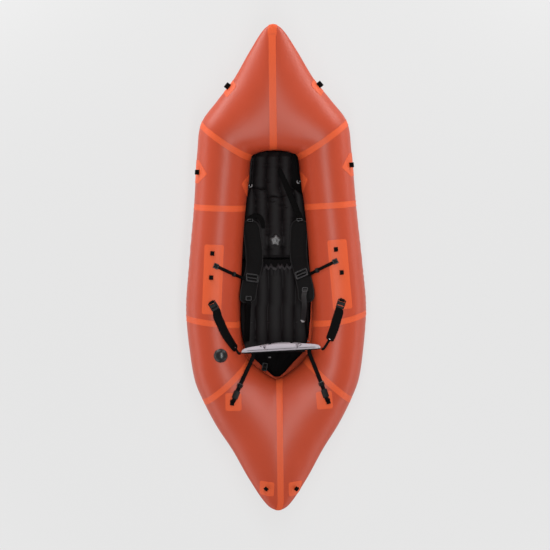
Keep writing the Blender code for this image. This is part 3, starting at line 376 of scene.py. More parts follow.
def row_slope(row, column):
    value = HULL_ROWS[row][column]
    if row in (0, LAST_ROW):
        inward = 1 if row == 0 else LAST_ROW - 1
        if column not in (0, 2):
            return 0.0
        return (HULL_ROWS[inward][column] - value) / (KNOTS[inward] - KNOTS[row])
    return (HULL_ROWS[row + 1][column] - HULL_ROWS[row - 1][column]) / (KNOTS[row + 1] - KNOTS[row - 1])


def row_value(station, column):
    row = min(int(station), LAST_ROW - 1)
    share = station - row
    span = KNOTS[row + 1] - KNOTS[row]
    return ((2 * share**3 - 3 * share**2 + 1) * HULL_ROWS[row][column]
            + (share**3 - 2 * share**2 + share) * row_slope(row, column) * span
            + (3 * share**2 - 2 * share**3) * HULL_ROWS[row + 1][column]
            + (share**3 - share**2) * row_slope(row + 1, column) * span)


@functools.lru_cache(maxsize=None)
def section_at(station):
    station = min(max(station, 0.0), float(LAST_ROW))
    outer = Vector((row_value(station, 0) * HULL_BEAM / 2, row_value(station, 1) * HULL_LENGTH / 2, 0))
    inner = Vector((row_value(station, 2) * COCKPIT_WIDTH / 2, cockpit_point(row_value(station, 3)), 0))
    half_height = row_value(station, 4) * TUBE_HEIGHT / 2
    return outer, inner, half_height, row_value(station, 5), row_value(station, 6)


def section(station):
    """The tube at a station: its outer and inner edge, half its height, its crest's lean, its thinning."""
    return section_at(round(station, 5))


def cockpit_point(share):
    return COCKPIT_AHEAD + share * COCKPIT_LENGTH / 2


def rocker(y):
    past = abs(y) / (HULL_LENGTH / 2) - ROCKER_START
    if past <= 0:
        return 0.0
    return (BOW_RISE if y > 0 else STERN_RISE) * (past / (1 - ROCKER_START)) ** 2


def bare_point(station, turn):
    """A point of the starboard tube. Turn 0 is the inner edge, pi / 2 the crest and pi the outer edge."""
    outer, inner, half_height, lean, thinning = section(station)
    across = ((1 - math.cos(turn)) / 2) ** lean
    point = inner.lerp(outer, across)
    point.z = (TUBE_BASE + half_height + half_height * (1 - thinning * across**3) * math.sin(turn)
               + rocker(point.y))
    return point


def bare_normal(station, turn):
    along = bare_point(min(station + SMALL, LAST_ROW), turn) - bare_point(max(station - SMALL, 0), turn)
    normal = along.cross(bare_point(station, turn + SMALL) - bare_point(station, turn - SMALL))
    if station in (0, LAST_ROW):
        normal.x = 0
    if normal.length < 1e-12:
        return Vector((0, 1 if station < 1 else -1, 0))
    return normal.normalized()


def on_side(point, side):
    return Vector((point.x * side, point.y, point.z))


def off_seam_plane(point, row):
    """How far a point of the starboard tube lies ahead of a seam's upright plane."""
    outer, inner, *_ = section(float(row))
    span = (outer - inner).normalized()
    return (point - inner).y * span.x - (point - inner).x * span.y


def seam_sag(side, row, turn):
    if row in CENTRE_SHIFTS:
        return CENTRE_SHIFTS[row] * smooth_step(math.sin(turn) * 2.5)
    middle, end = next(SEAM_SAGS[name, side] for name, place in SEAM_ROWS.items() if place == row)
    return middle * max(math.sin(turn), 0.0) + end * smooth_step((turn - math.pi / 2) / (math.pi / 2))


def dents(side, station, turn, point):
    """How far the fabric stands off the plain shape: seams drawn in, ripples low down, soft dents."""
    lift = noise.noise(on_side(point, side) * 5.0 + Vector((3, 7, 1))) * DENT_DEPTH
    nearest = min(SEAM_ROWS.values(), key=lambda row: abs(row - station))
    off = side * point.x if nearest in CENTRE_SHIFTS else off_seam_plane(point, nearest)
    lift -= SEAM_DEPTH * bell(off - seam_sag(side, nearest, turn), SEAM_WIDTH)
    ahead, behind = RIPPLE_SPANS[side]
    window = smooth_step((ahead - point.y) / RIPPLE_FADE) * smooth_step((point.y - behind) / RIPPLE_FADE)
    if window > 0:
        waver = noise.noise(Vector((side * 5.0, point.y * 9.0, 2.0)))
        ripple = math.sin(math.tau * point.y / RIPPLE_PITCH + 2.5 * waver)
        strength = 0.6 + 0.4 * noise.noise(Vector((side * 3.0, point.y * 6.0, 9.0)))
        lift += RIPPLE_DEPTH * ripple * strength * window * bell(turn - math.pi, RIPPLE_TURN)
    return lift


def surface(side, station, turn, lift=0.0):
    """A point on the shown skin, or lifted off it."""
    point = bare_point(station, turn)
    lift += dents(side, station, turn, point) - SKIN_SINK
    return on_side(point + bare_normal(station, turn) * lift, side)


def turn_at(station, across):
    """The turn on the tube's top that lies a share of the way from its inner to its outer edge."""
    return math.acos(1 - 2 * across ** (1 / section(station)[3]))


def tube_spot(side, station, across):
    """The place on top of a tube at a station, a share of the way from its inner to its outer edge."""
    turn = turn_at(station, across)
    along = bare_point(station - STATION_STEP, turn) - bare_point(station + STATION_STEP, turn)
    place, out = bare_point(station, turn), bare_normal(station, turn)
    return Spot(on_side(place, side), on_side(along, side), on_side(out, side))


# Tube skins
TURNS, CREST_COLUMN, ROW_STEPS = 96, 24, 9


def rows_with_run(rows, column, aside):
    """Rows of points as (point, UV) pairs: one UV from the list aside, the other the run down a column."""
    made, run = [], 0.0
    for index, row in enumerate(rows):
        if index:
            run += (row[column] - rows[index - 1][column]).length
        made.append([(point, (value, run)) for point, value in zip(row, aside)])
    return made


for side, side_name in SIDES:
    for place, (first, last) in PANEL_ROWS.items():
        turns = [math.tau * step / TURNS for step in range(TURNS + 1)]
        rows = [[surface(side, station, turn) for turn in turns]
                for station in spread(first, last, (last - first) * ROW_STEPS + 1)]
        sheet(f"skin_{place}_{side_name}",
              rows_with_run(rows, CREST_COLUMN, [turn * TUBE_HEIGHT / 2 for turn in turns]), HULL,
              flipped=side == PORT, replaced=[f"tube_{place}_{side_name}"], slot="hull_fabric")


# Floor
FLOOR_TURNS = spread(math.tau * 12 / 20, math.tau * 15 / 20, 13)
FLOOR_LIFT, FLOOR_SINK, SPINE_LEAN_SHARE, FLOOR_COLUMNS, FLOOR_ROW_STEPS = 0.0014, 0.0010, 0.25, 6, 5


def floor_piece():
    """The sheet under the cockpit, welded round the underside of the tubes."""
    rows, faces = [], []
    stations = spread(0, LAST_ROW, LAST_ROW * FLOOR_ROW_STEPS + 1)
    columns = len(FLOOR_TURNS) + FLOOR_COLUMNS
    for side, _ in SIDES:
        faces += grid_faces(len(stations), columns, len(rows) * columns, flipped=side == PORT)
        for station in stations:
            row = [surface(side, station, turn, FLOOR_LIFT) for turn in FLOOR_TURNS]
            inner = section(station)[1]
            lean = SPINE_LEAN_SHARE * inner.x * row_value(station, 3)
            last = on_side(row[-1], side)
            for share in spread(1 / FLOOR_COLUMNS, 1, FLOOR_COLUMNS):
                point = last.lerp(Vector((0, inner.y - lean, last.z)), share)
                point.z = TUBE_BASE + rocker(point.y) - FLOOR_SINK
                row.append(on_side(point, side))
            rows.append([(point, (point.x, point.y)) for point in row])
    points, uvs = flat(rows)
    # The floor sheet wears the brightened fabric, painted light over its shade
    build("floor_skin", points, faces, FLOOR_PAINTED_LIGHT, uvs=uvs, replaced=["floor_sheet"], slot="hull_fabric")


floor_piece()


# Seam tapes
TAPE_HALF = (0.0016, 0.0030, 0.0070, 0.0112, 0.0126, 0.0130)
TAPE_OFFSETS = (*[-offset for offset in reversed(TAPE_HALF)], 0.0, *TAPE_HALF)
TAPE_LOW_TURN, TAPE_TIP_TURN = 0.4244, 2.66
TAPE_HIGH_TURN = math.pi + TAPE_LOW_TURN
TAPE_LIFT, TAPE_RIDGE, TAPE_RIDGE_WIDTH = 0.0012, 0.0004, 0.0016
# How far the rims of tapes and patches are sunk into the skin, and how wide a patch's rim is
RIM_SINK, RIM_WIDTH = 0.0004, 0.0004
SEAM_REACH, HALVINGS = 1.6, 22


def station_off_seam(row, turn, offset):
    """The station on a turn of the tube that lies at a distance from a seam's upright plane."""
    centred = row in CENTRE_SHIFTS
    low, high = max(row - SEAM_REACH, 0.0), min(row + SEAM_REACH, float(LAST_ROW))
    wanted, rising = (abs(offset), row == 0) if centred else (offset, False)
    for _ in range(HALVINGS):
        middle = (low + high) / 2
        point = bare_point(middle, turn)
        if ((point.x if centred else off_seam_plane(point, row)) > wanted) == rising:
            high = middle
        else:
            low = middle
    return (low + high) / 2


def tape(name, side, row, low_turn, lift, replaced, count=72, width_share=1.15):
    """A welded tape over a seam: thin, feathered at its edges, with the seam's ridge showing through it."""
    rows = []
    for index, turn in enumerate(spread(low_turn, TAPE_HIGH_TURN, count)):
        points = []
        for offset in TAPE_OFFSETS:
            rim = abs(offset) == TAPE_HALF[-1] or index in (0, count - 1)
            shifted = offset * width_share + seam_sag(side, row, turn)
            on = math.copysign(1, shifted) if row in CENTRE_SHIFTS else side
            ridge = TAPE_RIDGE * bell(offset, TAPE_RIDGE_WIDTH)
            points.append(surface(on, station_off_seam(row, turn, shifted), turn,
                                  -RIM_SINK if rim else lift + ridge))
        rows.append(points)
    face_up(sheet(name, rows_with_run(rows, len(TAPE_HALF), TAPE_OFFSETS), TAPE, replaced=replaced,
                  slot="tape_fabric"))


for side, side_name in SIDES:
    for place in ("bow_diagonal", "fore", "mid", "stern_diagonal"):
        tape(f"tape_{place}_{side_name}", side, SEAM_ROWS[place], -TAPE_LOW_TURN, TAPE_LIFT,
             [f"seam_tape_{place}_{side_name}"])
for place, width_share in (("bow_centre", 1.38), ("stern_centre", 1.20)):
    tape(f"tape_{place}", STARBOARD, SEAM_ROWS[place], -TAPE_LOW_TURN, TAPE_LIFT, [f"seam_tape_{place}"],
         count=110, width_share=width_share)
tape("tape_bow_tip", STARBOARD, 0, TAPE_TIP_TURN, 2 * TAPE_LIFT, (), count=30, width_share=1.72)


# Patches laid on the tubes
PATCH_LIFT = 0.0012
COARSE = 7
OUTLINE_SHARES = (-0.985, -0.96, -0.92, -0.86, *spread(-0.8, 0.8, 17), 0.86, 0.92, 0.96, 0.985)
SHEET_SHARES = (0.0, 0.006, 0.02, 0.05, 0.12, 0.22, 0.34, 0.45, 0.55, 0.66, 0.78, 0.88, 0.95, 0.98, 0.994,
                1.0)
FINE_SHARES = (0.0, 0.004, *spread(0.012, 0.988, 46), 0.996, 1.0)


def find_place(side, target, station, turn, in_plan):
    """The station and turn of the tube's nearest place to a point, or of the place right under it."""
    target = on_side(target, side)
    for _ in range(7):
        here = bare_point(station, turn)
        by_station = (bare_point(station + STATION_STEP, turn) - here) / STATION_STEP
        by_turn = (bare_point(station, turn + STATION_STEP) - here) / STATION_STEP
        miss = target - here
        if in_plan:
            miss.z = by_station.z = by_turn.z = 0
        a, b, c = by_station.dot(by_station), by_station.dot(by_turn), by_turn.dot(by_turn)
        p, q = by_station.dot(miss), by_turn.dot(miss)
        determinant = a * c - b * b
        if abs(determinant) < 1e-14:
            break
        station = min(max(station + (c * p - b * q) / determinant, 0.0), LAST_ROW - STATION_STEP)
        turn += (a * q - b * p) / determinant
    return station, turn


def rounded_rows(length, width, radius):
    """Rows of a rounded rectangle: each a place along it and the two ends of its width there."""
    half = length / 2
    places = [half * share for share in OUTLINE_SHARES]
    rows = []
    for place in (-half, -half + RIM_WIDTH, *places, half - RIM_WIDTH, half):
        past = max(0.0, abs(place) - (half - radius))
        inset = radius - math.sqrt(max(radius**2 - past**2, 0.0))
        rows.append((place, -width / 2 + inset, width / 2 - inset))
    return rows


def thin_patch(name, side, station, turn, rows, replaced):
    """A patch through rows of ((station, turn), relief, UV), its rim sunk, that faces out at a place."""
    made = []
    for index, row in enumerate(rows):
        line = []
        for number, (place, relief, uv) in enumerate(row):
            rim = index in (0, len(rows) - 1) or number in (0, len(row) - 1)
            line.append((surface(side, *place, -RIM_SINK if rim else PATCH_LIFT + relief), uv))
        made.append(line)
    face_along(sheet(name, made, TAPE, replaced=replaced, slot="tape_fabric"),
               on_side(bare_normal(station, turn), side))


def laid_sheet(name, side, base, station, across, rows, in_plan, replaced, relief=None, shares=SHEET_SHARES):
    """A thin patch laid on a tube at a place, its outline given as rows on the base spot's axes."""
    turn = turn_at(station, across)
    first, last = rows[0][0], rows[-1][0]
    low, high = min(row[1] for row in rows), max(row[2] for row in rows)
    coarse = [[find_place(side, base.at(along, aside, 0), station, turn, in_plan)
               for aside in spread(low, high, COARSE)] for along in spread(first, last, COARSE)]

    def place_of(along, aside):
        u, v = (along - first) / (last - first) * (COARSE - 1), (aside - low) / (high - low) * (COARSE - 1)
        i, j = min(int(u), COARSE - 2), min(int(v), COARSE - 2)
        corners = zip(coarse[i][j], coarse[i][j + 1], coarse[i + 1][j], coarse[i + 1][j + 1])
        return [lerp(lerp(a, b, v - j), lerp(c, d, v - j), u - i) for a, b, c, d in corners]

    made = []
    for along, left, right in rows:
        line = [lerp(left, right, share) for share in shares]
        made.append([(place_of(along, aside), relief(along, aside) if relief else 0.0, (aside, along))
                     for aside in line])
    thin_patch(name, side, station, turn, made, replaced)


# Webbing
CORNERS = ((-1, 0.0), (-0.96, 0.7), (-0.86, 1.0), (0, 1.0), (0.86, 1.0), (0.96, 0.7), (1, 0.0), (0.96, -0.7),
           (0.86, -1.0), (0, -1.0), (-0.86, -1.0), (-0.96, -0.7))
LOOP_ROOT = 0.004
ARCH_SHARES = ((-1, 0.45), (-0.86, 0.86), (-0.5, 1), (0, 1.01), (0.5, 1), (0.86, 0.86), (1, 0.45))


def ribbon(name, points, across, widths, material=WEBBING, thickness=WEBBING_THICKNESS, steps=5,
           slot="black_webbing", **settings):
    """Flat webbing with rounded edges along a smooth curve through points."""
    path = curve_through([Vector(point) for point in points], steps)
    count = len(points)
    across = across if isinstance(across, list) else [across] * count
    widths = widths if isinstance(widths, (list, tuple)) else [widths] * count
    rings, run = [], 0.0
    for index, point in enumerate(path):
        span = min(index / steps, count - 1.000001)
        knot = int(span)
        after = min(knot + 1, count - 1)
        aside = across[knot].lerp(across[after], span - knot)
        half = lerp(widths[knot], widths[after], span - knot) / 2
        tangent = (path[min(index + 1, len(path) - 1)] - path[max(index - 1, 0)]).normalized()
        aside = (aside - tangent * aside.dot(tangent)).normalized()
        rise = tangent.cross(aside)
        if index:
            run += (point - path[index - 1]).length
        rings.append([(point + aside * (half * share) + rise * (thickness / 2 * height), (half * share, run))
                      for share, height in CORNERS])
    return loft(name, rings, material, slot=slot, **settings)


def flat_ribbon(name, spot, path, width, **settings):
    """Webbing on a spot's axes through places of (along, out)."""
    ribbon(name, [spot.at(along, 0, out) for along, out in path], spot.across, width, **settings)


def arch(name, spot, span, height, width):
    """A stitched webbing loop that stands on a patch."""
    leg = span / 2
    bow = [(leg * along, height * out) for along, out in ARCH_SHARES]
    flat_ribbon(name, spot, [(-leg, -LOOP_ROOT), *bow, (leg, -LOOP_ROOT)], width)


# Loops and patches on the tubes
WEBBING_WIDTH = 0.020
# A patch's size is its length, its width and its corners' radius
TOW_SHEET, SIDE_SHEET, STRAP_SHEET = (0.072, 0.078, 0.010), (0.344, 0.096, 0.010), (0.088, 0.080, 0.012)
# A loop's size is its span, its height and its width
TOW_ARCH, BOW_ARCH, SIDE_ARCH = (0.010, 0.018, WEBBING_WIDTH), (0.010, 0.021, 0.029), (0.010, 0.019, 0.024)
DECK_ARCH, STRAP_ARCH = (0.020, 0.012, WEBBING_WIDTH), (0.012, 0.013, WEBBING_WIDTH)
LOCK_ARCH, LOCK_ARCH_MOVE = (0.012, 0.0085, 0.026), (0.0195, 0, -0.0012)
# A place is a station and a share of the way across the tube, and for some pieces a bearing too
BOW_LOOPS = {PORT: (3.30, 0.985), STARBOARD: (3.29, 0.990)}
SIDE_LOOPS = {PORT: (6.68, 0.940), STARBOARD: (6.48, 0.940)}
TOW_LOOPS = {PORT: (18.92, 0.880), STARBOARD: (18.59, 0.940)}
TOW_BEARINGS = {PORT: -0.15, STARBOARD: 0.15}
DECK_LOOPS = {PORT: ((9.44, 0.560), (10.17, 0.552)), STARBOARD: ((9.36, 0.516), (10.03, 0.582))}
SIDE_PATCHES = {PORT: (10.24, 0.524, -0.050), STARBOARD: (10.10, 0.551, 0.075)}
FRONT_LOCKS = {PORT: (11.27, 0.485, 0.56), STARBOARD: (11.25, 0.528, -0.36)}
STERN_PATCHES = {PORT: (16.10, 0.593, 0.0), STARBOARD: (15.86, 0.614, 0.07)}
STERN_PATCH_MOVES = {PORT: 0.010, STARBOARD: 0.0}
STERN_LOOPS = {PORT: (16.045, 0.604), STARBOARD: (15.78, 0.678)}
INNER_DIAMONDS = {PORT: (6.74, 0.118), STARBOARD: (6.55, 0.122)}
SQUARE_HALF, SQUARE_LINE, SQUARE_RISE, SQUARE_INBOARD = 0.011, 0.0012, 0.0009, 0.026
LINE_PLACES, LINE_WIDTH, LINE_RISE = (0.031, 0.037), 0.0016, 0.0008
# How far a plate or a frame lies above the skin
FITTING_LIFT = 0.0016


def edge_arch(name, side, place, size):
    spot = tube_spot(side, *place)
    arch(name, Spot(spot.origin, spot.across, spot.out), *size)


def plan_base(side, station, across, bearing):
    return Spot(tube_spot(side, station, across).origin, (0, 1, 0), UP).turned(bearing)


def square_weld(along, across, places):
    """The raised outline of a square weld at any of the places."""
    for place_along, place_across in places:
        off = max(abs(along - place_along), abs(across - place_across)) - SQUARE_HALF
        if abs(off) < 3 * SQUARE_LINE:
            return SQUARE_RISE * bell(off, SQUARE_LINE)
    return 0.0


def side_relief(side, base):
    """The welds that show on a long side patch: two lines near its inner side, squares beside its loops."""
    inward = 1 if base.across.x * side < 0 else -1
    squares = []
    for place in DECK_LOOPS[side]:
        off = tube_spot(side, *place).origin - base.origin
        squares.append((off.dot(base.along), off.dot(base.across) - SQUARE_INBOARD))

    def relief(along, across):
        lines = sum(bell(inward * across - place, LINE_WIDTH) for place in LINE_PLACES)
        return LINE_RISE * lines + square_weld(along, across, squares)

    return relief


def front_lock_spot(side):
    station, across, bearing = FRONT_LOCKS[side]
    return tube_spot(side, station, across).turned(bearing).moved(0, 0, FITTING_LIFT)


def stern_run(side):
    """The seat of a rear strap's loop, its along axis from the tube's outer side in to the backrest."""
    place = tube_spot(side, *STERN_LOOPS[side])
    return Spot(place.origin, on_side(section(15)[1], side) - place.origin, place.out)


for side, side_name in SIDES:
    spot = tube_spot(side, *TOW_LOOPS[side])
    base = Spot(spot.origin, (0, 1, 0), spot.out).turned(TOW_BEARINGS[side])
    laid_sheet(f"patch_tow_{side_name}", side, base, *TOW_LOOPS[side], rounded_rows(*TOW_SHEET),
               False, [f"tow_loop_stern_{side_name}"])
    edge_arch(f"loop_tow_{side_name}", side, TOW_LOOPS[side], TOW_ARCH)
for side, side_name in SIDES:
    base = plan_base(side, *SIDE_PATCHES[side])
    laid_sheet(f"patch_deck_{side_name}", side, base, *SIDE_PATCHES[side][:2],
               rounded_rows(*SIDE_SHEET), True, [f"side_patch_{side_name}"],
               relief=side_relief(side, base), shares=FINE_SHARES)
    for number, place in enumerate(DECK_LOOPS[side], 1):
        arch(f"loop_deck_{side_name}_{number}", tube_spot(side, *place), *DECK_ARCH)
    base = plan_base(side, *STERN_PATCHES[side]).moved(STERN_PATCH_MOVES[side], 0, 0)
    laid_sheet(f"patch_strap_{side_name}", side, base, *STERN_PATCHES[side][:2],
               rounded_rows(*STRAP_SHEET), True, [f"strap_patch_stern_{side_name}"])
for side, side_name in SIDES:
    arch(f"loop_strap_{side_name}", stern_run(side), *STRAP_ARCH)
    arch(f"loop_lock_{side_name}", front_lock_spot(side).moved(*LOCK_ARCH_MOVE), *LOCK_ARCH)


# Patches that wrap round an edge of the tube
WRAP_SHARES = (-1.0, -0.985, *spread(-0.95, 0.95, 15), 0.985, 1.0)
METRES_PER_TURN = 0.13
BOW_PATCH_SHAPE = ((0.0, 0.027), (0.03, 0.034), (0.08, 0.038), (0.92, 0.038), (0.97, 0.034), (1.0, 0.027))
BOW_PATCH_REACH, BOW_PATCH_UNDER = 0.031, 0.16
DIAMOND_REACH, DIAMOND_WIDEST, DIAMOND_UNDER = 0.058, 0.014, 0.22
DIAMOND_TIP, DIAMOND_HALF, INNER_DIAMOND_HALF = 0.0012, 0.0580, 0.0560
INNER_EDGE_TURN = 0.10
INNER_ARCH, INNER_ARCH_LIFT = (0.010, 0.012, 0.016), 0.001
HOOK_RADIUS, HOOK_RISE, HOOK_WIDTH, HOOK_THICKNESS = 0.0075, 0.0125, 0.0050, 0.0030
# The shares of a turn at which the hook starts and that it spans
HOOK_START, HOOK_SPAN = 0.10, 0.78


def over_share(turn):
    return (1 - math.cos(turn)) / 2


def turn_inboard(station, turn, reach):
    """The turn whose place lies a plan distance nearer the cockpit than another's."""
    outer, inner, _, lean, _ = section(station)
    return turn_at(station, over_share(turn) ** lean - reach / (outer - inner).length)


def wrap_patch(name, side, station, rows, replaced=()):
    """A patch from rows of (turn, half its length): straight across the tube, thin at its rim."""
    made = []
    for turn, half in rows:
        span = bare_point(station + STATION_STEP, turn) - bare_point(station - STATION_STEP, turn)
        metre = 2 * STATION_STEP / span.length
        made.append([((station + share * half * metre, turn), 0.0, (share * half, turn * METRES_PER_TURN))
                     for share in WRAP_SHARES])
    thin_patch(name, side, station, rows[len(rows) // 2][0], made, replaced)


def shaped_rows(first_turn, last_turn, shape):
    """Rows between two turns, their half lengths read off (share, half) pairs."""
    rows = []
    for share in (0.0, 0.012, *spread(0.03, 0.97, 26), 0.988, 1.0):
        before, after, part = rows_round(shape, share)
        rows.append((lerp(first_turn, last_turn, share), lerp(before[1], after[1], part)))
    return rows


def diamond_rows(station):
    """Rows of a diamond whose tip points inboard: straight to its widest place, and on round the edge."""
    tip, widest = [turn_inboard(station, math.pi, reach) for reach in (DIAMOND_REACH, DIAMOND_WIDEST)]
    rows = []
    for turn in spread(tip, math.pi + DIAMOND_UNDER, 40):
        share = (over_share(turn) - over_share(tip)) / (over_share(widest) - over_share(tip))
        rows.append((turn, lerp(DIAMOND_TIP, DIAMOND_HALF, min(share, 1.0) if turn < math.pi else 1.0)))
    return rows


def inner_diamond_rows(station, across):
    """Rows of a half hidden diamond whose tip points outboard from the cockpit's edge."""
    return [(turn, lerp(INNER_DIAMOND_HALF, DIAMOND_TIP, min(over_share(max(turn, 0.0)) / across, 1.0)))
            for turn in spread(-0.30, turn_at(station, across), 32)]


for side, side_name in SIDES:
    station, across = BOW_LOOPS[side]
    first_turn = turn_inboard(station, turn_at(station, across), BOW_PATCH_REACH)
    wrap_patch(f"patch_bow_{side_name}", side, station,
               shaped_rows(first_turn, math.pi + BOW_PATCH_UNDER, BOW_PATCH_SHAPE),
               [f"grab_loop_bow_{side_name}"])
    edge_arch(f"loop_bow_{side_name}", side, BOW_LOOPS[side], BOW_ARCH)
    station = SIDE_LOOPS[side][0]
    wrap_patch(f"patch_side_{side_name}", side, station, diamond_rows(station),
               [f"grab_loop_side_{side_name}"])
    edge_arch(f"loop_side_{side_name}", side, SIDE_LOOPS[side], SIDE_ARCH)
    station, across = INNER_DIAMONDS[side]
    wrap_patch(f"patch_inner_{side_name}", side, station, inner_diamond_rows(station, across))
    hook_loop = Spot(surface(side, station, INNER_EDGE_TURN, INNER_ARCH_LIFT), (0, 1, 0),
                     on_side(bare_normal(station, INNER_EDGE_TURN), side))
    arch(f"loop_inner_{side_name}", hook_loop, *INNER_ARCH)
    hook = hook_loop.moved(0, 0, HOOK_RISE)
    angles = [math.tau * (step / 12 * HOOK_SPAN + HOOK_START) for step in range(13)]
    # The hook is pale grey as a painted highlight
    ribbon(f"hook_inner_{side_name}",
           [hook.at(HOOK_RADIUS * math.cos(angle), 0, HOOK_RADIUS * math.sin(angle)) for angle in angles],
           hook.across, HOOK_WIDTH, material=HOOK_HIGHLIGHT_GREY, thickness=HOOK_THICKNESS, slot="black_plastic")


# Cockpit shapes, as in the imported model. A row is a place along the cockpit, a half width and a height
BAG_BASE, BAG_HEIGHT = 0.0024, 0.028
MAT_BASE, MAT_HEIGHT = 0.0307, 0.056
MAT_TOP = MAT_BASE + MAT_HEIGHT
BAG_ROWS = ((0.998, 0.50, 0.5), (0.975, 0.62, 1.0), (0.86, 0.74, 1.0), (0.66, 0.82, 1.0),
            (0.45, 0.89, 1.0), (0.20, 0.95, 1.0), (-0.10, 0.98, 1.0), (-0.45, 0.96, 1.0),
            (-0.64, 0.90, 1.0), (-0.78, 0.74, 0.9), (-0.86, 0.47, 0.7), (-0.94, 0.25, 0.5),
            (-0.986, 0.08, 0.3))
FRONT_MAT_ROWS = ((0.996, 0.46, 0.40), (0.984, 0.56, 0.70), (0.945, 0.64, 0.92), (0.84, 0.69, 1.0),
                  (0.72, 0.735, 1.0), (0.58, 0.79, 1.0), (0.44, 0.84, 1.0), (0.30, 0.88, 1.0),
                  (0.16, 0.91, 1.0), (0.085, 0.925, 0.95), (0.060, 0.925, 0.75), (0.050, 0.915, 0.45))
SEAT_MAT_ROWS = ((0.028, 0.905, 0.40), (0.014, 0.925, 0.72), (-0.02, 0.94, 0.95), (-0.10, 0.955, 1.0),
                 (-0.22, 0.97, 1.0), (-0.34, 0.975, 1.0), (-0.46, 0.97, 1.0), (-0.56, 0.955, 1.0),
                 (-0.635, 0.935, 1.0), (-0.675, 0.91, 1.0), (-0.765, 0.80, 1.0), (-0.772, 0.78, 0.5))
# A cushion's sides, as shares of its half width and its edge's height, and its underside, of its half width
SIDE_SHARES = ((1.0, 0.62), (0.985, 0.28))
UNDER_SHARES = (0.93, 0.6, 0.0, -0.6, -0.93)
SIDE_UV = 0.01


def bag_rise(y):
    """How far the bag's top follows the hull's rise at y."""
    ahead, behind, share = rows_round([[cockpit_point(row[0])] for row in BAG_ROWS], y)
    return lerp(rocker(ahead[0]), rocker(behind[0]), share)


def row_at(rows, y):
    """The half width and the height share at y."""
    before, after, share = rows_round([(cockpit_point(row[0]), *row[1:]) for row in rows], y)
    share = min(max(share, 0.0), 1.0)
    return lerp(before[1], after[1], share) * COCKPIT_WIDTH / 2, lerp(before[2], after[2], share)


def along_rows(rows, pitch):
    first, last = cockpit_point(rows[0][0]), cockpit_point(rows[-1][0])
    ends = [cockpit_point(row[0]) for row in rows[1:3] + rows[-3:-1]]
    places = spread(first, last, int((first - last) / pitch)) + ends
    return sorted({round(value, 5) for value in places}, reverse=True)


def laid_cushion(node_name, rows, pitch, columns, base_of, height_of, material, side_shift=None):
    """A closed cushion lofted along the cockpit, its top from height_of(x, y, half, share, centre)."""
    rings = []
    for y in along_rows(rows, pitch):
        half, share = row_at(rows, y)
        left, right = side_shift(y, half) if side_shift else (-half, half)
        half, centre = (right - left) / 2, (left + right) / 2
        ring = [(x, height_of(x, y, half, share, centre), x) for x in spread(left, right, columns + 1)]
        edge = height_of(right, y, half, share, centre)
        ring += [(right * part, edge * drop, right + SIDE_UV) for part, drop in SIDE_SHARES]
        ring += [(right * part if part > 0 else -left * part, 0.0, -right * part) for part in UNDER_SHARES]
        ring += [(left * part, edge * drop, left - SIDE_UV) for part, drop in reversed(SIDE_SHARES)]
        rings.append([(Vector((x, y, base_of(y) + height)), (u, y)) for x, height, u in ring])
    return loft(f"{node_name}_cloth", rings, material, replaced=[node_name], slot="black_nylon",
                smooth_angle=1.2)


# Air mats
VALLEY = 0.62
VALLEY_PLACES = ((0.0355, 0.31), (0.0960, 0.90))
KNOB_PLACE = Vector((0.0, cockpit_point(0.21), MAT_TOP))
# A fold is the x in metres and the pixel row of its two ends, its depth and its width
FOLDS = ((-0.1200, 187.5, -0.0480, 188.0, 0.0085, 0.0036), (-0.0400, 197.0, 0.0560, 195.5, 0.0060, 0.0032),
         (-0.0480, 182.0, -0.0200, 181.5, 0.0050, 0.0026), (-0.0400, 201.5, 0.0050, 200.5, 0.0040, 0.0026),
         (0.0250, 206.5, 0.0650, 207.0, 0.0035, 0.0026), (0.0550, 191.0, 0.1050, 188.5, 0.0060, 0.0034))
# Pixel rows where the front mat's creases grow and its starboard side stands in, and of the seat mat's
# tack stitches and of the sliver of floor beside it
CREASES_GROW, DRAWN_FROM, DRAWN_TO = 243, 196, 150
TACK_LINE, SLID_FROM, SLID_TO = 322.5, 300, 352
DRAWN_HALF = 0.086
SLID_PORT, SLID_STARBOARD = 0.004, 0.010
SHIFT_FADE, SHIFT_END_FADE = 0.05, 0.02
CREASE_REACH, CREASE_WIDTH, FRONT_CREASE_DEPTH, SEAT_CREASE_DEPTH = 0.022, 0.0125, 0.0110, 0.0020
# The flat place round the knob, and where ahead of it the creases bunch up
KNOB_FLAT, KNOB_FADE, BUNCH_AHEAD, BUNCH_WIDTH = 0.030, 0.020, 0.045, 0.045
FOLD_WANDER, CREASES_FADE, FRONT_CRUMPLE, SEAT_CRUMPLE = 0.0025, 0.06, 0.0015, 0.0012
# Shares of the cockpit where the seat mat's channels end and are full, and where its pleats begin
CHANNEL_END_SHARE, CHANNEL_FULL_SHARE, PLEATS_SHARE = -0.705, -0.680, -0.12
PLEATS_FADE, PLEAT_DEPTH, PLEAT_PITCH, TACK_DEPTH, TACK_SPREAD = 0.05, 0.004, 0.0245, 0.0030, 0.0065


def valley_places(half):
    return [min(place, share * half) for place, share in VALLEY_PLACES]


def channel_height(x, half):
    """The share of the mat's height at x: five air channels between the welds."""
    first, second = valley_places(half)
    x = abs(x)
    if x < first:
        phase = 0.5 + x / first / 2
    elif x < second:
        phase = (x - first) / (second - first)
    else:
        phase = min(1.0, (x - second) / max(half - second, 1e-6))
        phase = min(phase, 0.5 + 0.5 * phase**2)
    return VALLEY + (1 - VALLEY) * max(math.sin(math.pi * phase), 0.0) ** 0.50


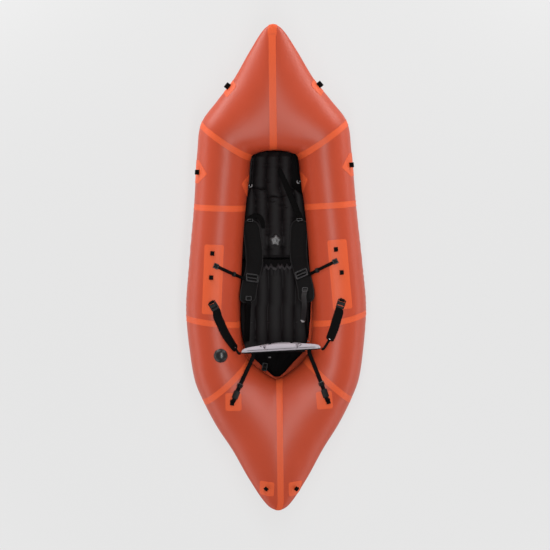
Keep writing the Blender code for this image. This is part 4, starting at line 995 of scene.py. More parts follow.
def valley_creases(x, y, half, key, strength):
    """Short creases across each weld, where the full channels pull the cloth together."""
    total = 0.0
    for number, valley in enumerate(valley_places(half)):
        for on in (-1, 1):
            off = abs(x - on * valley)
            if off > CREASE_REACH:
                continue
            seed = key + number * 7.3 + on * 3.1
            bunch = noise.noise(Vector((seed, y * 18.0, 5.0)))
            wave = noise.noise(Vector((seed, y * 95.0, 1.0)))
            wave += 0.5 * noise.noise(Vector((seed, y * 190.0, 8.0)))
            total += max(0.0, wave * (0.75 + bunch)) * bell(off, CREASE_WIDTH)
    return total * strength


def fold_depth(x, y):
    total = 0.0
    for x1, row1, x2, row2, depth, width in FOLDS:
        share = (x - x1) / (x2 - x1)
        if -0.1 < share < 1.1:
            off = y - (lerp(photo_y(row1), photo_y(row2), share) + FOLD_WANDER * math.sin(share * 7.0))
            ends = smooth_step(min(share + 0.1, 1.1 - share) / 0.25)
            total += depth * ends * (bell(off, width) - 0.55 * bell(off + 2.2 * width, 1.3 * width))
    return total


def front_mat_height(x, y, half, share, centre):
    channel = lerp(channel_height(x - 0.5 * centre, half), 1.0, 0.25)
    off = math.hypot(x - KNOB_PLACE.x, y - KNOB_PLACE.y)
    away = smooth_step((off - KNOB_FLAT) / KNOB_FADE)
    front = smooth_step((y - photo_y(CREASES_GROW)) / CREASES_FADE)
    gathered = 1.0 + 0.9 * bell(y - KNOB_PLACE.y - BUNCH_AHEAD, BUNCH_WIDTH)
    creases = valley_creases(x - 0.5 * centre, y, half, 1.0, FRONT_CREASE_DEPTH)
    dip = creases * lerp(0.8, 1.0, front) * gathered
    dip += fold_depth(x, y)
    dip += FRONT_CRUMPLE * max(0.0, noise.noise(Vector((x * 9, y * 30, 3.0))))
    return MAT_HEIGHT * share * lerp(0.995, channel, away) - dip * share * away


def seat_mat_height(x, y, half, share, centre):
    end, whole = cockpit_point(CHANNEL_END_SHARE), cockpit_point(CHANNEL_FULL_SHARE)
    full = smooth_step((y - end) / (whole - end))
    channel = lerp(1.0, channel_height(x - centre, half), 0.62 * full)
    ahead = smooth_step((y - cockpit_point(PLEATS_SHARE)) / PLEATS_FADE)
    dip = valley_creases(x - centre, y, half, 4.0, SEAT_CREASE_DEPTH)
    pleats = math.sin(math.tau * x / PLEAT_PITCH + 1.2 * math.sin(x * 60))
    dip += ahead * PLEAT_DEPTH * max(0.0, pleats)
    for place in valley_places(half):
        for on in (-1, 1):
            off = math.hypot(x - centre - on * place, (y - photo_y(TACK_LINE)) * 1.6)
            dip += TACK_DEPTH * bell(off, TACK_SPREAD)
    dip += SEAT_CRUMPLE * max(0.0, noise.noise(Vector((x * 9, y * 22, 7.0))))
    return MAT_HEIGHT * share * channel - dip * share


def front_shift(y, half):
    """The front mat's starboard side stands in from the hull at its fore end."""
    drawn = smooth_step((y - photo_y(DRAWN_FROM)) / SHIFT_FADE)
    drawn *= smooth_step((photo_y(DRAWN_TO) - y) / SHIFT_END_FADE)
    return -half, lerp(half, DRAWN_HALF, drawn)


def seat_shift(y, half):
    """The seat mat lies against the port tube, with a sliver of floor to starboard of its after half."""
    slid = smooth_step((photo_y(SLID_FROM) - y) / SHIFT_FADE)
    slid *= smooth_step((y - photo_y(SLID_TO)) / SHIFT_END_FADE)
    return -half - SLID_PORT * slid, half - SLID_STARBOARD * slid


def mat_base(y):
    return MAT_BASE + bag_rise(y)


front_mat = laid_cushion("front_mat", FRONT_MAT_ROWS, 0.0034, 110, mat_base, front_mat_height, NYLON,
                         side_shift=front_shift)
seat_mat = laid_cushion("seat_mat", SEAT_MAT_ROWS, 0.0038, 110, mat_base, seat_mat_height, NYLON,
                        side_shift=seat_shift)


# Rucksack
BAG_CRUMPLE, BAG_WRINKLE, TAIL_RISE, TAIL_FADE, TAIL_SHARE = 0.0022, 0.0012, 0.004, 0.05, -0.70
# A ridge in the bag's tail is its x at the start, its slope and its width
RIDGES_START, BAG_RIDGES = -0.46, ((0.010, 0.25, 0.010), (-0.045, -0.4, 0.007))


def bag_base(y):
    return BAG_BASE + bag_rise(y)


def bag_top(x, y, half, share, centre):
    """The bag's height at a place: rounded at its sides, crumpled, and with two ridges in its tail."""
    crown = (1 - min(abs(x - centre) / half, 1.0) ** 5) ** 0.5
    crumple = BAG_CRUMPLE * noise.noise(Vector((x * 16, y * 11, 2.0)))
    crumple += BAG_WRINKLE * noise.noise(Vector((x * 45, y * 38, 6.0)))
    tail = TAIL_RISE * smooth_step((cockpit_point(TAIL_SHARE) - y) / TAIL_FADE)
    ridge = sum(bell(x - place - slope * (y - RIDGES_START), width) for place, slope, width in BAG_RIDGES)
    height = BAG_HEIGHT * share * lerp(0.45, 1.0, crown) + (crumple + tail * ridge) * share * crown
    return min(height, BAG_HEIGHT * share + tail)


# The rucksack in the darkened cloth, painted shade
bag = laid_cushion("rucksack", BAG_ROWS, 0.0080, 60, bag_base, bag_top, SHADED_BAG_CLOTH)


# The seat mat's gathered front weld and its tack stitches, with painted highlights on its teeth and tacks
WELD_TEETH = ((-0.060, 0.0), (-0.048, 0.9), (-0.036, 0.25), (-0.024, 1.0), (-0.012, 0.35), (0.002, 0.2),
              (0.012, 1.0), (0.022, 0.5), (0.032, 0.9), (0.044, 0.1), (0.056, 0.95), (0.068, 0.3),
              (0.082, 0.8))
# Pixel rows of the flange's and the teeth's fore and after edge, and the places of the painted highlights at
# the tacks
FLANGE_FORE, FLANGE_AFT, TEETH_FORE, TEETH_AFT = 258.8, 268.0, 268.6, 271.2
TACK_HIGHLIGHTS = ((251.4, 322.6), (268.2, 322.8), (274.5, 323.2), (296.7, 322.4))
WELD_ENDS = (-0.058, 0.080)
FLANGE_BULGE, BULGE_PLACE, BULGE_WIDTH, FLANGE_ROUGHNESS = 0.004, 0.012, 0.045, 0.0006
TEETH_FORE_REACH, TEETH_AFT_REACH, WELD_LIFT, WELD_RISE, TEETH_RISE = 0.028, 0.018, 0.0004, 0.0008, 0.0050
TACK_SINK, TACK_WIDTH, TACK_THICKNESS = 0.0015, 0.0020, 0.0010
TACK_PATH = ((-0.0065, -0.004), (-0.004, 0.0), (0.004, 0.0), (0.0065, -0.004))


def front_weld():
    """The flat flange ahead of the channels, and the cloth drawn up into teeth behind it, the teeth lighter
    grey as a painted highlight.
    """
    flange, teeth = [], []
    for x in spread(*WELD_ENDS, 139):
        fore = photo_y(FLANGE_FORE) - FLANGE_BULGE * bell(x - BULGE_PLACE, BULGE_WIDTH)
        line = []
        for share in (0.0, 0.5, 1.0):
            y = lerp(fore, photo_y(FLANGE_AFT), share)
            rough = FLANGE_ROUGHNESS * noise.noise(Vector((x * 90, y * 60, 1)))
            line.append(((x, y, MAT_BASE + MAT_HEIGHT * lerp(0.86, 0.97, share) + rough), (x, y)))
        flange.append(line)
        before, after, share = rows_round(WELD_TEETH, x)
        tooth = lerp(before[1], after[1], share)
        line = []
        for share in (0.0, 0.2, 0.5, 0.8, 1.0):
            y = lerp(photo_y(TEETH_FORE) + TEETH_FORE_REACH * tooth,
                     photo_y(TEETH_AFT) + TEETH_AFT_REACH * tooth, share)
            rise = (WELD_RISE + TEETH_RISE * tooth) * math.sin(math.pi * share)
            line.append(((x, y, MAT_BASE + MAT_HEIGHT * 0.975 + rise + WELD_LIFT), (x, y)))
        teeth.append(line)
    # The flange in the darkened cloth, painted shade
    face_up(sheet("seat_mat_flange", flange, SHADED_BAG_CLOTH, slot="black_nylon"))
    face_up(sheet("seat_mat_weld_highlight", teeth, WELD_HIGHLIGHT, slot="black_nylon"))


front_weld()
# Small pale marks at the tack stitches: painted highlights
for number, (x_pixel, y_pixel) in enumerate(TACK_HIGHLIGHTS, 1):
    tack = Spot((photo_x(x_pixel), photo_y(y_pixel), MAT_TOP - TACK_SINK), (1, 0, 0), UP)
    flat_ribbon(f"tack_{number}", tack, TACK_PATH, TACK_WIDTH, material=WELD_HIGHLIGHT, thickness=TACK_THICKNESS,
                slot="black_nylon")


# Lathed parts. A wave of the knob's rim is its depth, its count and its phase
CAP_RIB, CAP_RIBS = 0.0005, 30
KNOB_WAVES = ((0.0032, 5, 0.4), (0.0012, 3, 1.0))


def lathe(name, spot, profile, material, count=96, lobes=None, **settings):
    """Rings of (radius, height, lobe share) round a spot's out axis, closed at both ends."""
    rings = []
    for radius, height, *share in profile:
        ring = []
        for step in range(count):
            angle = math.tau * step / count
            reach = radius + (share[0] * lobes(angle) if share else 0.0)
            along, across = reach * math.cos(angle), reach * math.sin(angle)
            ring.append((spot.at(along, across, height), (along, across)))
        rings.append(ring)
    loft(name, rings, material, slot="black_plastic", smooth_angle=0.7, **settings)


def cap_lobes(angle):
    return CAP_RIB * math.cos(CAP_RIBS * angle)


def knob_lobes(angle):
    return sum(depth * math.cos(count * angle + phase) for depth, count, phase in KNOB_WAVES)


VALVE_SPOT = Spot(tube_spot(PORT, 13.56, 0.432).origin, (0, 1, 0), UP)
MAT_VALVE_SPOT = Spot(KNOB_PLACE, (0, 1, 0), UP)
VALVE_FLANGE = ((0.0150, 0.0005), (0.0336, -0.0045), (0.0342, 0.0008), (0.0338, 0.0034), (0.0326, 0.0058),
                (0.0308, 0.0078), (0.0288, 0.0090), (0.0282, 0.0086), (0.0280, 0.0062), (0.0150, 0.0062),
                (0.0142, 0.0050), (0.0142, 0.0015))
VALVE_CAP = ((0.0134, 0.0), (0.0134, 0.0063), (0.0266, 0.0064, 0.3), (0.0273, 0.0072, 1.0),
             (0.0273, 0.0098, 1.0), (0.0268, 0.0112, 0.5), (0.0250, 0.0130), (0.0220, 0.0150),
             (0.0180, 0.0170), (0.0135, 0.0186), (0.0090, 0.0196), (0.0040, 0.0202), (0.0010, 0.0203))
MAT_VALVE_RING = ((0.0200, -0.0098), (0.0200, -0.0020), (0.0295, -0.0012), (0.0300, -0.0004),
                  (0.0290, 0.0003), (0.0270, 0.0004), (0.0262, 0.0003), (0.0120, 0.0003))
MAT_KNOB = ((0.0215, 0.0007, 0.95), (0.0238, 0.0014, 1.0), (0.0247, 0.0040, 1.0), (0.0246, 0.0082, 1.0),
            (0.0234, 0.0104, 0.98), (0.0205, 0.0117, 0.9), (0.0150, 0.0121, 0.5), (0.0099, 0.0117, 0.2),
            (0.0055, 0.0113), (0.0010, 0.0112))
lathe("valve_flange", VALVE_SPOT, VALVE_FLANGE, VALVE, replaced=["main_valve_base"])
lathe("valve_cap", VALVE_SPOT, VALVE_CAP, VALVE, body="valve_cap", replaced=["main_valve_cap"], count=180,
      lobes=cap_lobes)
lathe("mat_valve_ring", MAT_VALVE_SPOT, MAT_VALVE_RING, NYLON, replaced=["mat_valve_base"])
lathe("mat_knob", MAT_VALVE_SPOT, MAT_KNOB, KNOB, body="mat_knob", replaced=["mat_valve_knob"], count=140,
      lobes=knob_lobes)


# Shoulder pads
PAD_WIDTH, PAD_THICKNESS, PAD_LENGTH, PAD_TOP_Y, PAD_ROLL = 0.082, 0.016, 0.405, 0.235, 0.40
# A row is the share down the pad, the port and starboard pad's x, the lift, the roll and the thickness
PAD_ROWS = (
    (0.00, -0.70, 0.68, 0.00, 0.0, 0.70),
    (0.04, -0.68, 0.67, 0.00, 0.0, 0.95),
    (0.19, -0.64, 0.65, 0.01, 0.0, 1.0),
    (0.33, -0.60, 0.63, 0.04, 0.0, 1.0),
    (0.48, -0.59, 0.65, 0.15, 0.2, 1.0),
    (0.55, -0.600, 0.680, 0.28, 0.6, 1.0),
    (0.60, -0.625, 0.712, 0.40, 0.95, 1.0),
    (0.80, -0.745, 0.820, 0.835, 0.95, 1.0),
    (0.88, -0.775, 0.853, 0.95, 1.0, 1.0),
    (0.97, -0.81, 0.855, 1.00, 1.0, 0.95),
    (1.00, -0.815, 0.852, 1.00, 1.0, 0.70))
PAD_END_Z = {PORT: 0.17487, STARBOARD: 0.19101}
PAD_LOW = MAT_TOP + 0.0006
PAD_STEPS = (0.0, 0.004, *spread(0.012, 0.988, 84), 0.996, 1.0)
PAD_ROUND_TOP, PAD_ROUND_END = 0.13, 0.085
PAD_SWELL, PAD_SWELL_PLACE, PAD_SWELL_WIDTH = 0.0035, 0.085, 0.05
PAD_UNDERSIDE = ((1.0, 0.22), (0.97, 0.0), (0.0, 0.0), (-0.97, 0.0), (-1.0, 0.22))
PAD_UNDER_LIFT = 0.0004
# The pad's width at its ends and the height of its binding, as shares of the full ones
PAD_TOP_SHARE, PAD_END_SHARE, PAD_RIM_SHARE = 0.38, 0.54, 0.42
PAD_SEAM_SHARE, PAD_SEAM_DEPTH, PAD_SEAM_WIDTH = 0.80, 0.0012, 0.0018
PAD_CRUMPLE, PAD_WRINKLE = 0.0006, 0.0010
BINDING_WIDTH, BINDING_HEIGHT, BINDING_CORNERS, BINDING_UV = 0.0034, 0.0042, 10, 0.004


def pad_row(side, row):
    """The middle, the aside direction and the thickness share at a row of the pad."""
    along, port_share, starboard_share, lift, roll, thick = row
    x = (port_share if side == PORT else starboard_share) * COCKPIT_WIDTH / 2
    roll *= PAD_ROLL
    return (Vector((x, PAD_TOP_Y - along * PAD_LENGTH, PAD_LOW + lift * (PAD_END_Z[side] - PAD_LOW))),
            Vector((math.cos(roll), 0, side * math.sin(roll))), thick)


def pad_section(side, along_share):
    """The middle, aside direction, up direction and thickness share at a place down a pad."""
    before, after, share = rows_round(PAD_ROWS, along_share)
    first, second = pad_row(side, before), pad_row(side, after)
    aside = first[1].lerp(second[1], share).normalized()
    up = (first[0] - second[0]).cross(aside).normalized()
    if up.z < 0:
        up = -up
    return first[0].lerp(second[0], share), aside, up, lerp(first[2], second[2], share)


def pad_spot(side, along_share, lift=0.0):
    place, aside, up, thick = pad_section(side, along_share)
    along = aside.cross(up)
    if along.y < 0:
        along = -along
    return Spot(place + up * (PAD_THICKNESS * thick + lift), along, up)


def smooth_sections(side):
    """The sections down a pad, with the directions of neighbours averaged."""
    sections = [pad_section(side, step) for step in PAD_STEPS]
    made = []
    for index, (*_, thick) in enumerate(sections):
        near = sections[max(index - 3, 0):index + 4]
        averages = [sum((item[part] for item in near), Vector()) / len(near) for part in range(3)]
        made.append([*averages, thick])
    made[0][:3], made[-1][:3] = sections[0][:3], sections[-1][:3]
    return made


def pad_outline(along_share):
    """The share of the pad's width at a place, with rounded ends."""
    if along_share < PAD_ROUND_TOP:
        before = 1 - along_share / PAD_ROUND_TOP
        return lerp(PAD_TOP_SHARE, 1.0, math.sqrt(max(0.0, 1 - before**2)))
    if along_share > 1 - PAD_ROUND_END:
        past = (along_share - 1 + PAD_ROUND_END) / PAD_ROUND_END
        return lerp(PAD_END_SHARE, 1.0, math.sqrt(max(0.0, 1 - past**2)))
    return 1.0


def pad_height(side, step, share, half):
    """How high the pad's top stands, as a share of its thickness, and how far seams and wrinkles sink it."""
    seam = PAD_SEAM_DEPTH * bell((abs(share) - PAD_SEAM_SHARE) * half, PAD_SEAM_WIDTH)
    wrinkle = PAD_CRUMPLE * noise.noise(Vector((share * 2, step * 30, side * 4.0)))
    bend = bell(step - 0.50, 0.09) * (1 - abs(share))
    wrinkle += PAD_WRINKLE * max(0.0, math.sin(step * 70 + share)) * bend
    return 0.50 + 0.50 * (1 - abs(share) ** 3.2) ** 0.6, seam + wrinkle


def pad_binding(name, body, rims):
    """The welt round a pad, along its starboard rim, round its end and back along its port rim."""
    port_rim, starboard_rim = rims
    rim = starboard_rim + [lerp(starboard_rim[-1], port_rim[-1], share) for share in (0.25, 0.5, 0.75)]
    rim += port_rim[::-1] + [lerp(port_rim[0], starboard_rim[0], share) for share in (0.25, 0.5, 0.75)]
    halfway = len(port_rim) // 2
    centre = (starboard_rim[halfway] + port_rim[halfway]) / 2
    rings = []
    for index, point in enumerate(rim):
        tangent = (rim[(index + 1) % len(rim)] - rim[index - 1]).normalized()
        out = tangent.cross(UP).normalized()
        if out.dot(point - centre) < 0 and index < len(port_rim):
            out = -out
        rise = out.cross(tangent).normalized()
        ring = []
        for step in range(BINDING_CORNERS):
            angle = math.tau * step / BINDING_CORNERS
            off = out * (BINDING_WIDTH * math.cos(angle)) + rise * (BINDING_HEIGHT * math.sin(angle))
            ring.append((point + off, (BINDING_UV * angle, index * BINDING_UV)))
        rings.append(ring)
    loft(name, [*rings, rings[0]], BINDING, ends=False, body=body, slot="black_nylon")


def shoulder_pad(side, side_name):
    body = f"pad_{side_name}"
    rings, rims = [], ([], [])
    for step, (place, aside, up, thick) in zip(PAD_STEPS, smooth_sections(side)):
        swell = PAD_SWELL * bell(step - PAD_SWELL_PLACE, PAD_SWELL_WIDTH)
        half = PAD_WIDTH / 2 * pad_outline(step) + swell
        full = PAD_THICKNESS * thick
        place = place + aside * (side * swell)
        heights = []
        for share in spread(-1.0, 1.0, 29):
            crown, drawn = pad_height(side, step, share, half)
            heights.append((share, full * crown - drawn))
        heights += [(share, full * height or PAD_UNDER_LIFT) for share, height in PAD_UNDERSIDE]
        rings.append([(place + aside * (half * share) + up * height, (half * share, step * PAD_LENGTH))
                      for share, height in heights])
        for rim, on in zip(rims, (-1, 1)):
            rim.append(place + aside * (half * on) + up * (full * PAD_RIM_SHARE))
    made = loft(f"pad_cloth_{side_name}", rings, PAD_CLOTH, body=body,
                replaced=[f"shoulder_pad_{side_name}"], slot="black_nylon", smooth_angle=1.2)
    pad_binding(f"pad_binding_{side_name}", body, rims)


for side, side_name in SIDES:
    shoulder_pad(side, side_name)


# Hard fittings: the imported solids, with their edges eased
GLIDE_PLACES = {PORT: 0.72, STARBOARD: 0.68}
GLIDE_TURNS = {PORT: 0.21, STARBOARD: 0.05}
GLIDE_BEARINGS = {PORT: -0.155, STARBOARD: 0.40}
GLIDE_LIFT = 0.0015
PAD_LOCK_PLACES = {PORT: 0.955, STARBOARD: 0.865}
PAD_LOCK_LIFT = 0.0006
EASED_WIDTH, WELD_DISTANCE, FLAT_ANGLE, SHARP_ANGLE = 0.0007, 0.00002, 0.03, 0.6


def eased(name, node_name, material, body, spot=None, turn=0.0):
    """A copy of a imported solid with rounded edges, turned a little about a spot."""
    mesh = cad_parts[node_name].data.copy()
    made = bpy.data.objects.new(name, mesh)
    bpy.context.scene.collection.objects.link(made)
    edited = bmesh.new()
    edited.from_mesh(mesh)
    if turn:
        bmesh.ops.rotate(edited, verts=edited.verts, cent=spot.origin,
                         matrix=Matrix.Rotation(turn, 3, spot.out))
    bmesh.ops.remove_doubles(edited, verts=edited.verts, dist=WELD_DISTANCE)
    bmesh.ops.dissolve_limit(edited, angle_limit=FLAT_ANGLE, verts=edited.verts, edges=edited.edges)
    sharp = [edge for edge in edited.edges
             if len(edge.link_faces) == 2 and edge.calc_face_angle(0.0) > SHARP_ANGLE]
    bmesh.ops.bevel(edited, geom=sharp, offset=EASED_WIDTH, segments=2, profile=0.6, affect="EDGES",
                    clamp_overlap=True)
    bmesh.ops.triangulate(edited, faces=[face for face in edited.faces if len(face.verts) > 4])
    edited.to_mesh(mesh)
    edited.free()
    mesh.materials.clear()
    mesh.materials.append(material)
    mesh.shade_smooth()
    mesh.set_sharp_from_angle(angle=0.7)
    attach(made, body)
    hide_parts(node_name)


def glide_spot(side):
    return pad_spot(side, GLIDE_PLACES[side], GLIDE_LIFT)


def pad_lock_spot(side):
    return pad_spot(side, PAD_LOCK_PLACES[side], PAD_LOCK_LIFT)


for side, side_name in SIDES:
    eased(f"lock_{side_name}", f"ladder_lock_front_{side_name}", PLASTIC, f"front_lock_{side_name}")
    eased(f"glide_{side_name}", f"tri_glide_{side_name}", GLIDE, f"tri_glide_{side_name}",
          spot=pad_spot(side, GLIDE_PLACES[side]), turn=GLIDE_TURNS[side])
    eased(f"pad_lock_{side_name}", f"ladder_lock_pad_{side_name}", PLASTIC, f"pad_{side_name}")
    eased(f"buckle_{side_name}", f"rear_buckle_{side_name}", PLASTIC, f"rear_buckle_{side_name}")


# Backrest
REST_WIDTH, REST_HEIGHT = 0.390, 0.215
REST_YAW, REST_LEAN = 0.045, 0.03
YAWED = Vector((math.cos(REST_YAW), math.sin(REST_YAW), 0))
BACKWARDS = Vector((math.sin(REST_YAW), -math.cos(REST_YAW), 0))
REST_UP = UP * math.cos(REST_LEAN) + BACKWARDS * math.sin(REST_LEAN)
REST_SPOT = Spot((0.022, -0.402274, 0.088269), REST_UP, REST_UP.cross(YAWED))
REST_ROWS = ((0.0, 0.62), (0.12, 0.65), (0.30, 0.65), (0.50, 0.70), (0.70, 0.80), (0.84, 0.97), (0.94, 1.0),
             (1.0, 0.92))
GROOVE_PLACE = 0.42
FOAM_EDGE, FOAM_MIDDLE = 0.009, 0.032
FOAM_HEIGHTS = (0.05, 0.052, *spread(0.056, 0.90, 46), *spread(0.91, 0.994, 14), 0.998, 1.0)
FOAM_PLACES = sorted({round(place, 4) for place in
                      spread(-1.0, 1.0, 61) + spread(-0.49, -0.35, 15) + spread(0.35, 0.49, 15)})
FOAM_BACK_PLACES = (1.0, 0.5, 0.0, -0.5, -1.0)
FOAM_BACK, FOAM_CRUMPLE = 0.0002, 0.0007
LIP_WIDTH, NOTCH_SHADE_WIDTH, FOAM_LINE_LIFT, FOAM_LINE_THICKNESS = 0.0016, 0.0030, 0.0006, 0.0014
# Dark lines on the foam: one along its lip, and two in its notches as painted shade
FOAM_LINES = (
    ("foam_lip_line", LIP_WIDTH, [(place, 0.0085) for place in spread(-0.93, 0.93, 25)]),
    ("foam_notch_shade_port", NOTCH_SHADE_WIDTH,
     [(-0.53, 0.027), (-0.50, 0.022), (-0.44, 0.021), (-0.41, 0.014), (-0.36, 0.0085)]),
    ("foam_notch_shade_starboard", NOTCH_SHADE_WIDTH,
     [(0.43, 0.0085), (0.455, 0.014), (0.53, 0.021), (0.50, 0.026), (0.44, 0.028)]))
SHELL_HEIGHTS = (0.0, 0.004, *spread(0.02, 0.98, 40), 0.996, 1.0)
SHELL_REACH = 0.003
SHELL_PROFILE = (
    (-1.0, -0.0004), (-0.5, -0.0004), (0.0, -0.0004), (0.5, -0.0004), (1.0, -0.0004), (1.0, -0.0018),
    (0.985, -0.0042), (0.96, -0.0053), (0.5, -0.0056), (0.0, -0.0057), (-0.5, -0.0056), (-0.96, -0.0053),
    (-0.985, -0.0042), (-1.0, -0.0018))


def rest_at(across, height, out):
    return REST_SPOT.at(height, across, out)


def rest_half(height_share):
    before, after, share = rows_round(REST_ROWS, height_share)
    return REST_WIDTH / 2 * lerp(before[1], after[1], share)


def foam_depth(place, height_share):
    """How far the foam stands out: three panels with grooves between them, and rounded ends."""
    groove = 1 - 0.62 * bell(abs(place) - GROOVE_PLACE, 0.030)
    bulge = math.sqrt(max(0.0, 1 - place**2))
    edge = min(1.0, (height_share - 0.05) / 0.06, (1 - height_share) / 0.075)
    panel = 1 + 0.03 * math.cos(place * 7.5)
    return lerp(FOAM_EDGE, FOAM_MIDDLE, bulge) * groove * panel * lerp(0.30, 1.0, math.sqrt(max(edge, 0.0)))


def foam_top(place, out):
    """A place on the foam's upper side, a distance out from the shell."""
    for share in spread(1.0, 0.90, 200):
        if foam_depth(place, share) >= out:
            break
    return rest_at(rest_half(share) * place, REST_HEIGHT * share + FOAM_LINE_LIFT, out)


def backrest():
    foam_rings, shell_rings = [], []
    for share in FOAM_HEIGHTS:
        half, height = rest_half(share), REST_HEIGHT * share
        ring = []
        for place in FOAM_PLACES:
            soft = FOAM_CRUMPLE * noise.noise(Vector((place * 6, share * 9, 1.0)))
            rim = 0.75 + 0.25 * min(1.0, (1 - abs(place)) / 0.04)
            ring.append((place, foam_depth(place, share) * rim + soft))
        ring += [(place, FOAM_BACK) for place in FOAM_BACK_PLACES]
        foam_rings.append([(rest_at(half * place, height, out), (half * place, height))
                           for place, out in ring])
    foam = loft("backrest_cushion", foam_rings, FOAM, body="backrest", replaced=["backrest_foam"],
                slot="grey_foam")
    # Dark ribbons on the foam, those in the notches painted shade
    for name, width, line in FOAM_LINES:
        ribbon(name, [foam_top(*spot) for spot in line], REST_SPOT.out, width, material=PAD_CLOTH,
               thickness=FOAM_LINE_THICKNESS, steps=2, body="backrest", slot="grey_foam")
    for share in SHELL_HEIGHTS:
        half = rest_half(share) + SHELL_REACH
        height = REST_HEIGHT * share + SHELL_REACH * smooth_step((share - 0.97) / 0.03)
        shell_rings.append([(rest_at(half * place, height, out), (half * place, height))
                            for place, out in SHELL_PROFILE])
    loft("backrest_cover", shell_rings, PAD_CLOTH, body="backrest", replaced=["backrest_shell"],
         slot="black_nylon")


backrest()


# Buckle frames, pale loops as painted highlights on the buckles, and rivets
BOX_CORNERS = ((-1, -1), (1, -1), (1, 1), (-1, 1))
BOX_FACES = ((0, 1, 2, 3), (4, 7, 6, 5), (0, 4, 5, 1), (1, 5, 6, 2), (2, 6, 7, 3), (3, 7, 4, 0))
BOX_INSET = 0.85
# A frame's size is its length, its width, its bars' width and its thickness
REAR_SLIDER, TETHER_LOCK = (0.018, 0.029, 0.0032, 0.0026), (0.026, 0.026, 0.0065, 0.0050)
TETHER_SLIDER, BAG_FRAME = (0.016, 0.024, 0.0045, 0.0044), (0.040, 0.026, 0.006, 0.006)
# A painted highlight loop's size is its length, its width and its thickness
PAD_LOCK_HIGHLIGHT, PAD_TOP_HIGHLIGHT = (0.019, 0.027, 0.0018), (0.011, 0.025, 0.0016)
GLIDE_HIGHLIGHT, GLIDE_SLOT_HIGHLIGHT = (0.040, 0.062, 0.0011), (0.013, 0.052, 0.0009)
TETHER_HIGHLIGHT, BAG_HIGHLIGHT = (0.021, 0.021, 0.0010), (0.034, 0.021, 0.0010)
HIGHLIGHT_LIFT = 0.0046
RIVET_RADIUS = 0.0042
RIVET_RINGS = ((0.4, -0.0006), (1.0, 0.0002), (1.0, 0.0008), (0.8, 0.0015), (0.3, 0.0019))


def frame_ring(name, spot, size, body=None):
    """A small rectangular buckle frame with a middle bar."""
    length, width, bar, thickness = size
    ends, sides = (length - bar) / 2, (width - bar) / 2
    points, faces = [], []
    for along, across, half_along, half_across in (
            (-ends, 0, bar / 2, width / 2), (0, 0, bar / 2, width / 2), (ends, 0, bar / 2, width / 2),
            (0, -sides, length / 2, bar / 2), (0, sides, length / 2, bar / 2)):
        faces += [tuple(len(points) + corner for corner in face) for face in BOX_FACES]
        for height, inset in ((-thickness / 2, 1.0), (thickness / 2, BOX_INSET)):
            points += [spot.at(along + a * half_along * inset, across + b * half_across * inset, height)
                       for a, b in BOX_CORNERS]
    return build(name, points, faces, PLASTIC, body=body, slot="black_plastic")


def highlight_loop(name, spot, size, body):
    """A rounded rectangular loop of pale grey laid on a buckle: a painted highlight along its edges."""
    length, width, highlight_thickness = size
    points = []
    for step in range(49):
        cosine, sine = math.cos(math.tau * step / 48), math.sin(math.tau * step / 48)
        reach = (abs(cosine) ** 8 + abs(sine) ** 8) ** (-1 / 8)
        points.append(spot.at(length / 2 * reach * cosine, width / 2 * reach * sine, 0))
    ribbon(name, points, spot.out, highlight_thickness, material=HIGHLIGHT_LOOP_GREY, thickness=highlight_thickness, steps=2, body=body,
           slot="black_plastic", ends=False)


def rivet(name, spot):
    lathe(name, spot, [(RIVET_RADIUS * share, height) for share, height in RIVET_RINGS], METAL, count=24)


# Straps
WING_ENDS = {PORT: (13.50, 0.145), STARBOARD: (12.90, 0.345)}
WING_RIVET_SHARES = {PORT: 0.955, STARBOARD: 0.985}
# Where the strap's turned end lies inside each front lock
WING_LOOPS = {PORT: (0.0060, -0.0150), STARBOARD: (0.0060, -0.0030)}
STRAP_LIFT, WIDE_LIFT, TIE_LIFT, RIVET_LIFT = 0.0048, 0.0050, 0.0072, 0.0064
# The nose's reaches from the lock, and shares of the way from the lock to the wide strap's end
NOSE_REACHES, NOSE_LIFT, NOSE_SHARES = (-0.0135, -0.0223, -0.0290), 0.0030, (0.22, 0.36)
WIDE_SHARES, TIE_SHARES = (0.32, 0.46, 0.60, 0.74, 0.88, 0.97, 1.0, 1.02), (0.90, 0.96, 1.0)
# The tie's end at the backrest: how far past its side, the share of its height, and how far out
TIE_SIDE, TIE_CLEAR, TIE_HEIGHT_SHARE, TIE_OUT, TIE_WIDTH = 0.0033, 0.012, 0.92, -0.0028, 0.012
WING_LOOP_LIFT, WING_LOOP_WIDTH, THIN_WEBBING = 0.0014, 0.029, 0.0012
NOSE_WIDTHS = (0.030, 0.032, 0.038, 0.044, 0.045)
WING_WIDTHS = (0.044, 0.045, 0.045, 0.045, 0.044, 0.042, 0.037, 0.026)
REAR_BUCKLE_OFFSETS = {PORT: (-0.096, -0.121), STARBOARD: (-0.152, -0.116)}
REAR_BUCKLE_LIFT, REAR_BUCKLE_REACH = 0.0075, 0.033
REAR_LOOP_EDGE, REAR_LOOP_LIFT, REAR_LOOP_CLEARS = 0.0069, 0.0052, (0.010, 0.0006)
# The rear strap's start at the backrest: shares of its half width and its height, and how far out
REAR_SIDE_SHARE, REAR_HEIGHT_SHARE, REAR_OUT, REAR_CLEAR = 0.715, 0.82, -0.0056, 0.020
REAR_SLIDER_LIFT = 0.0012
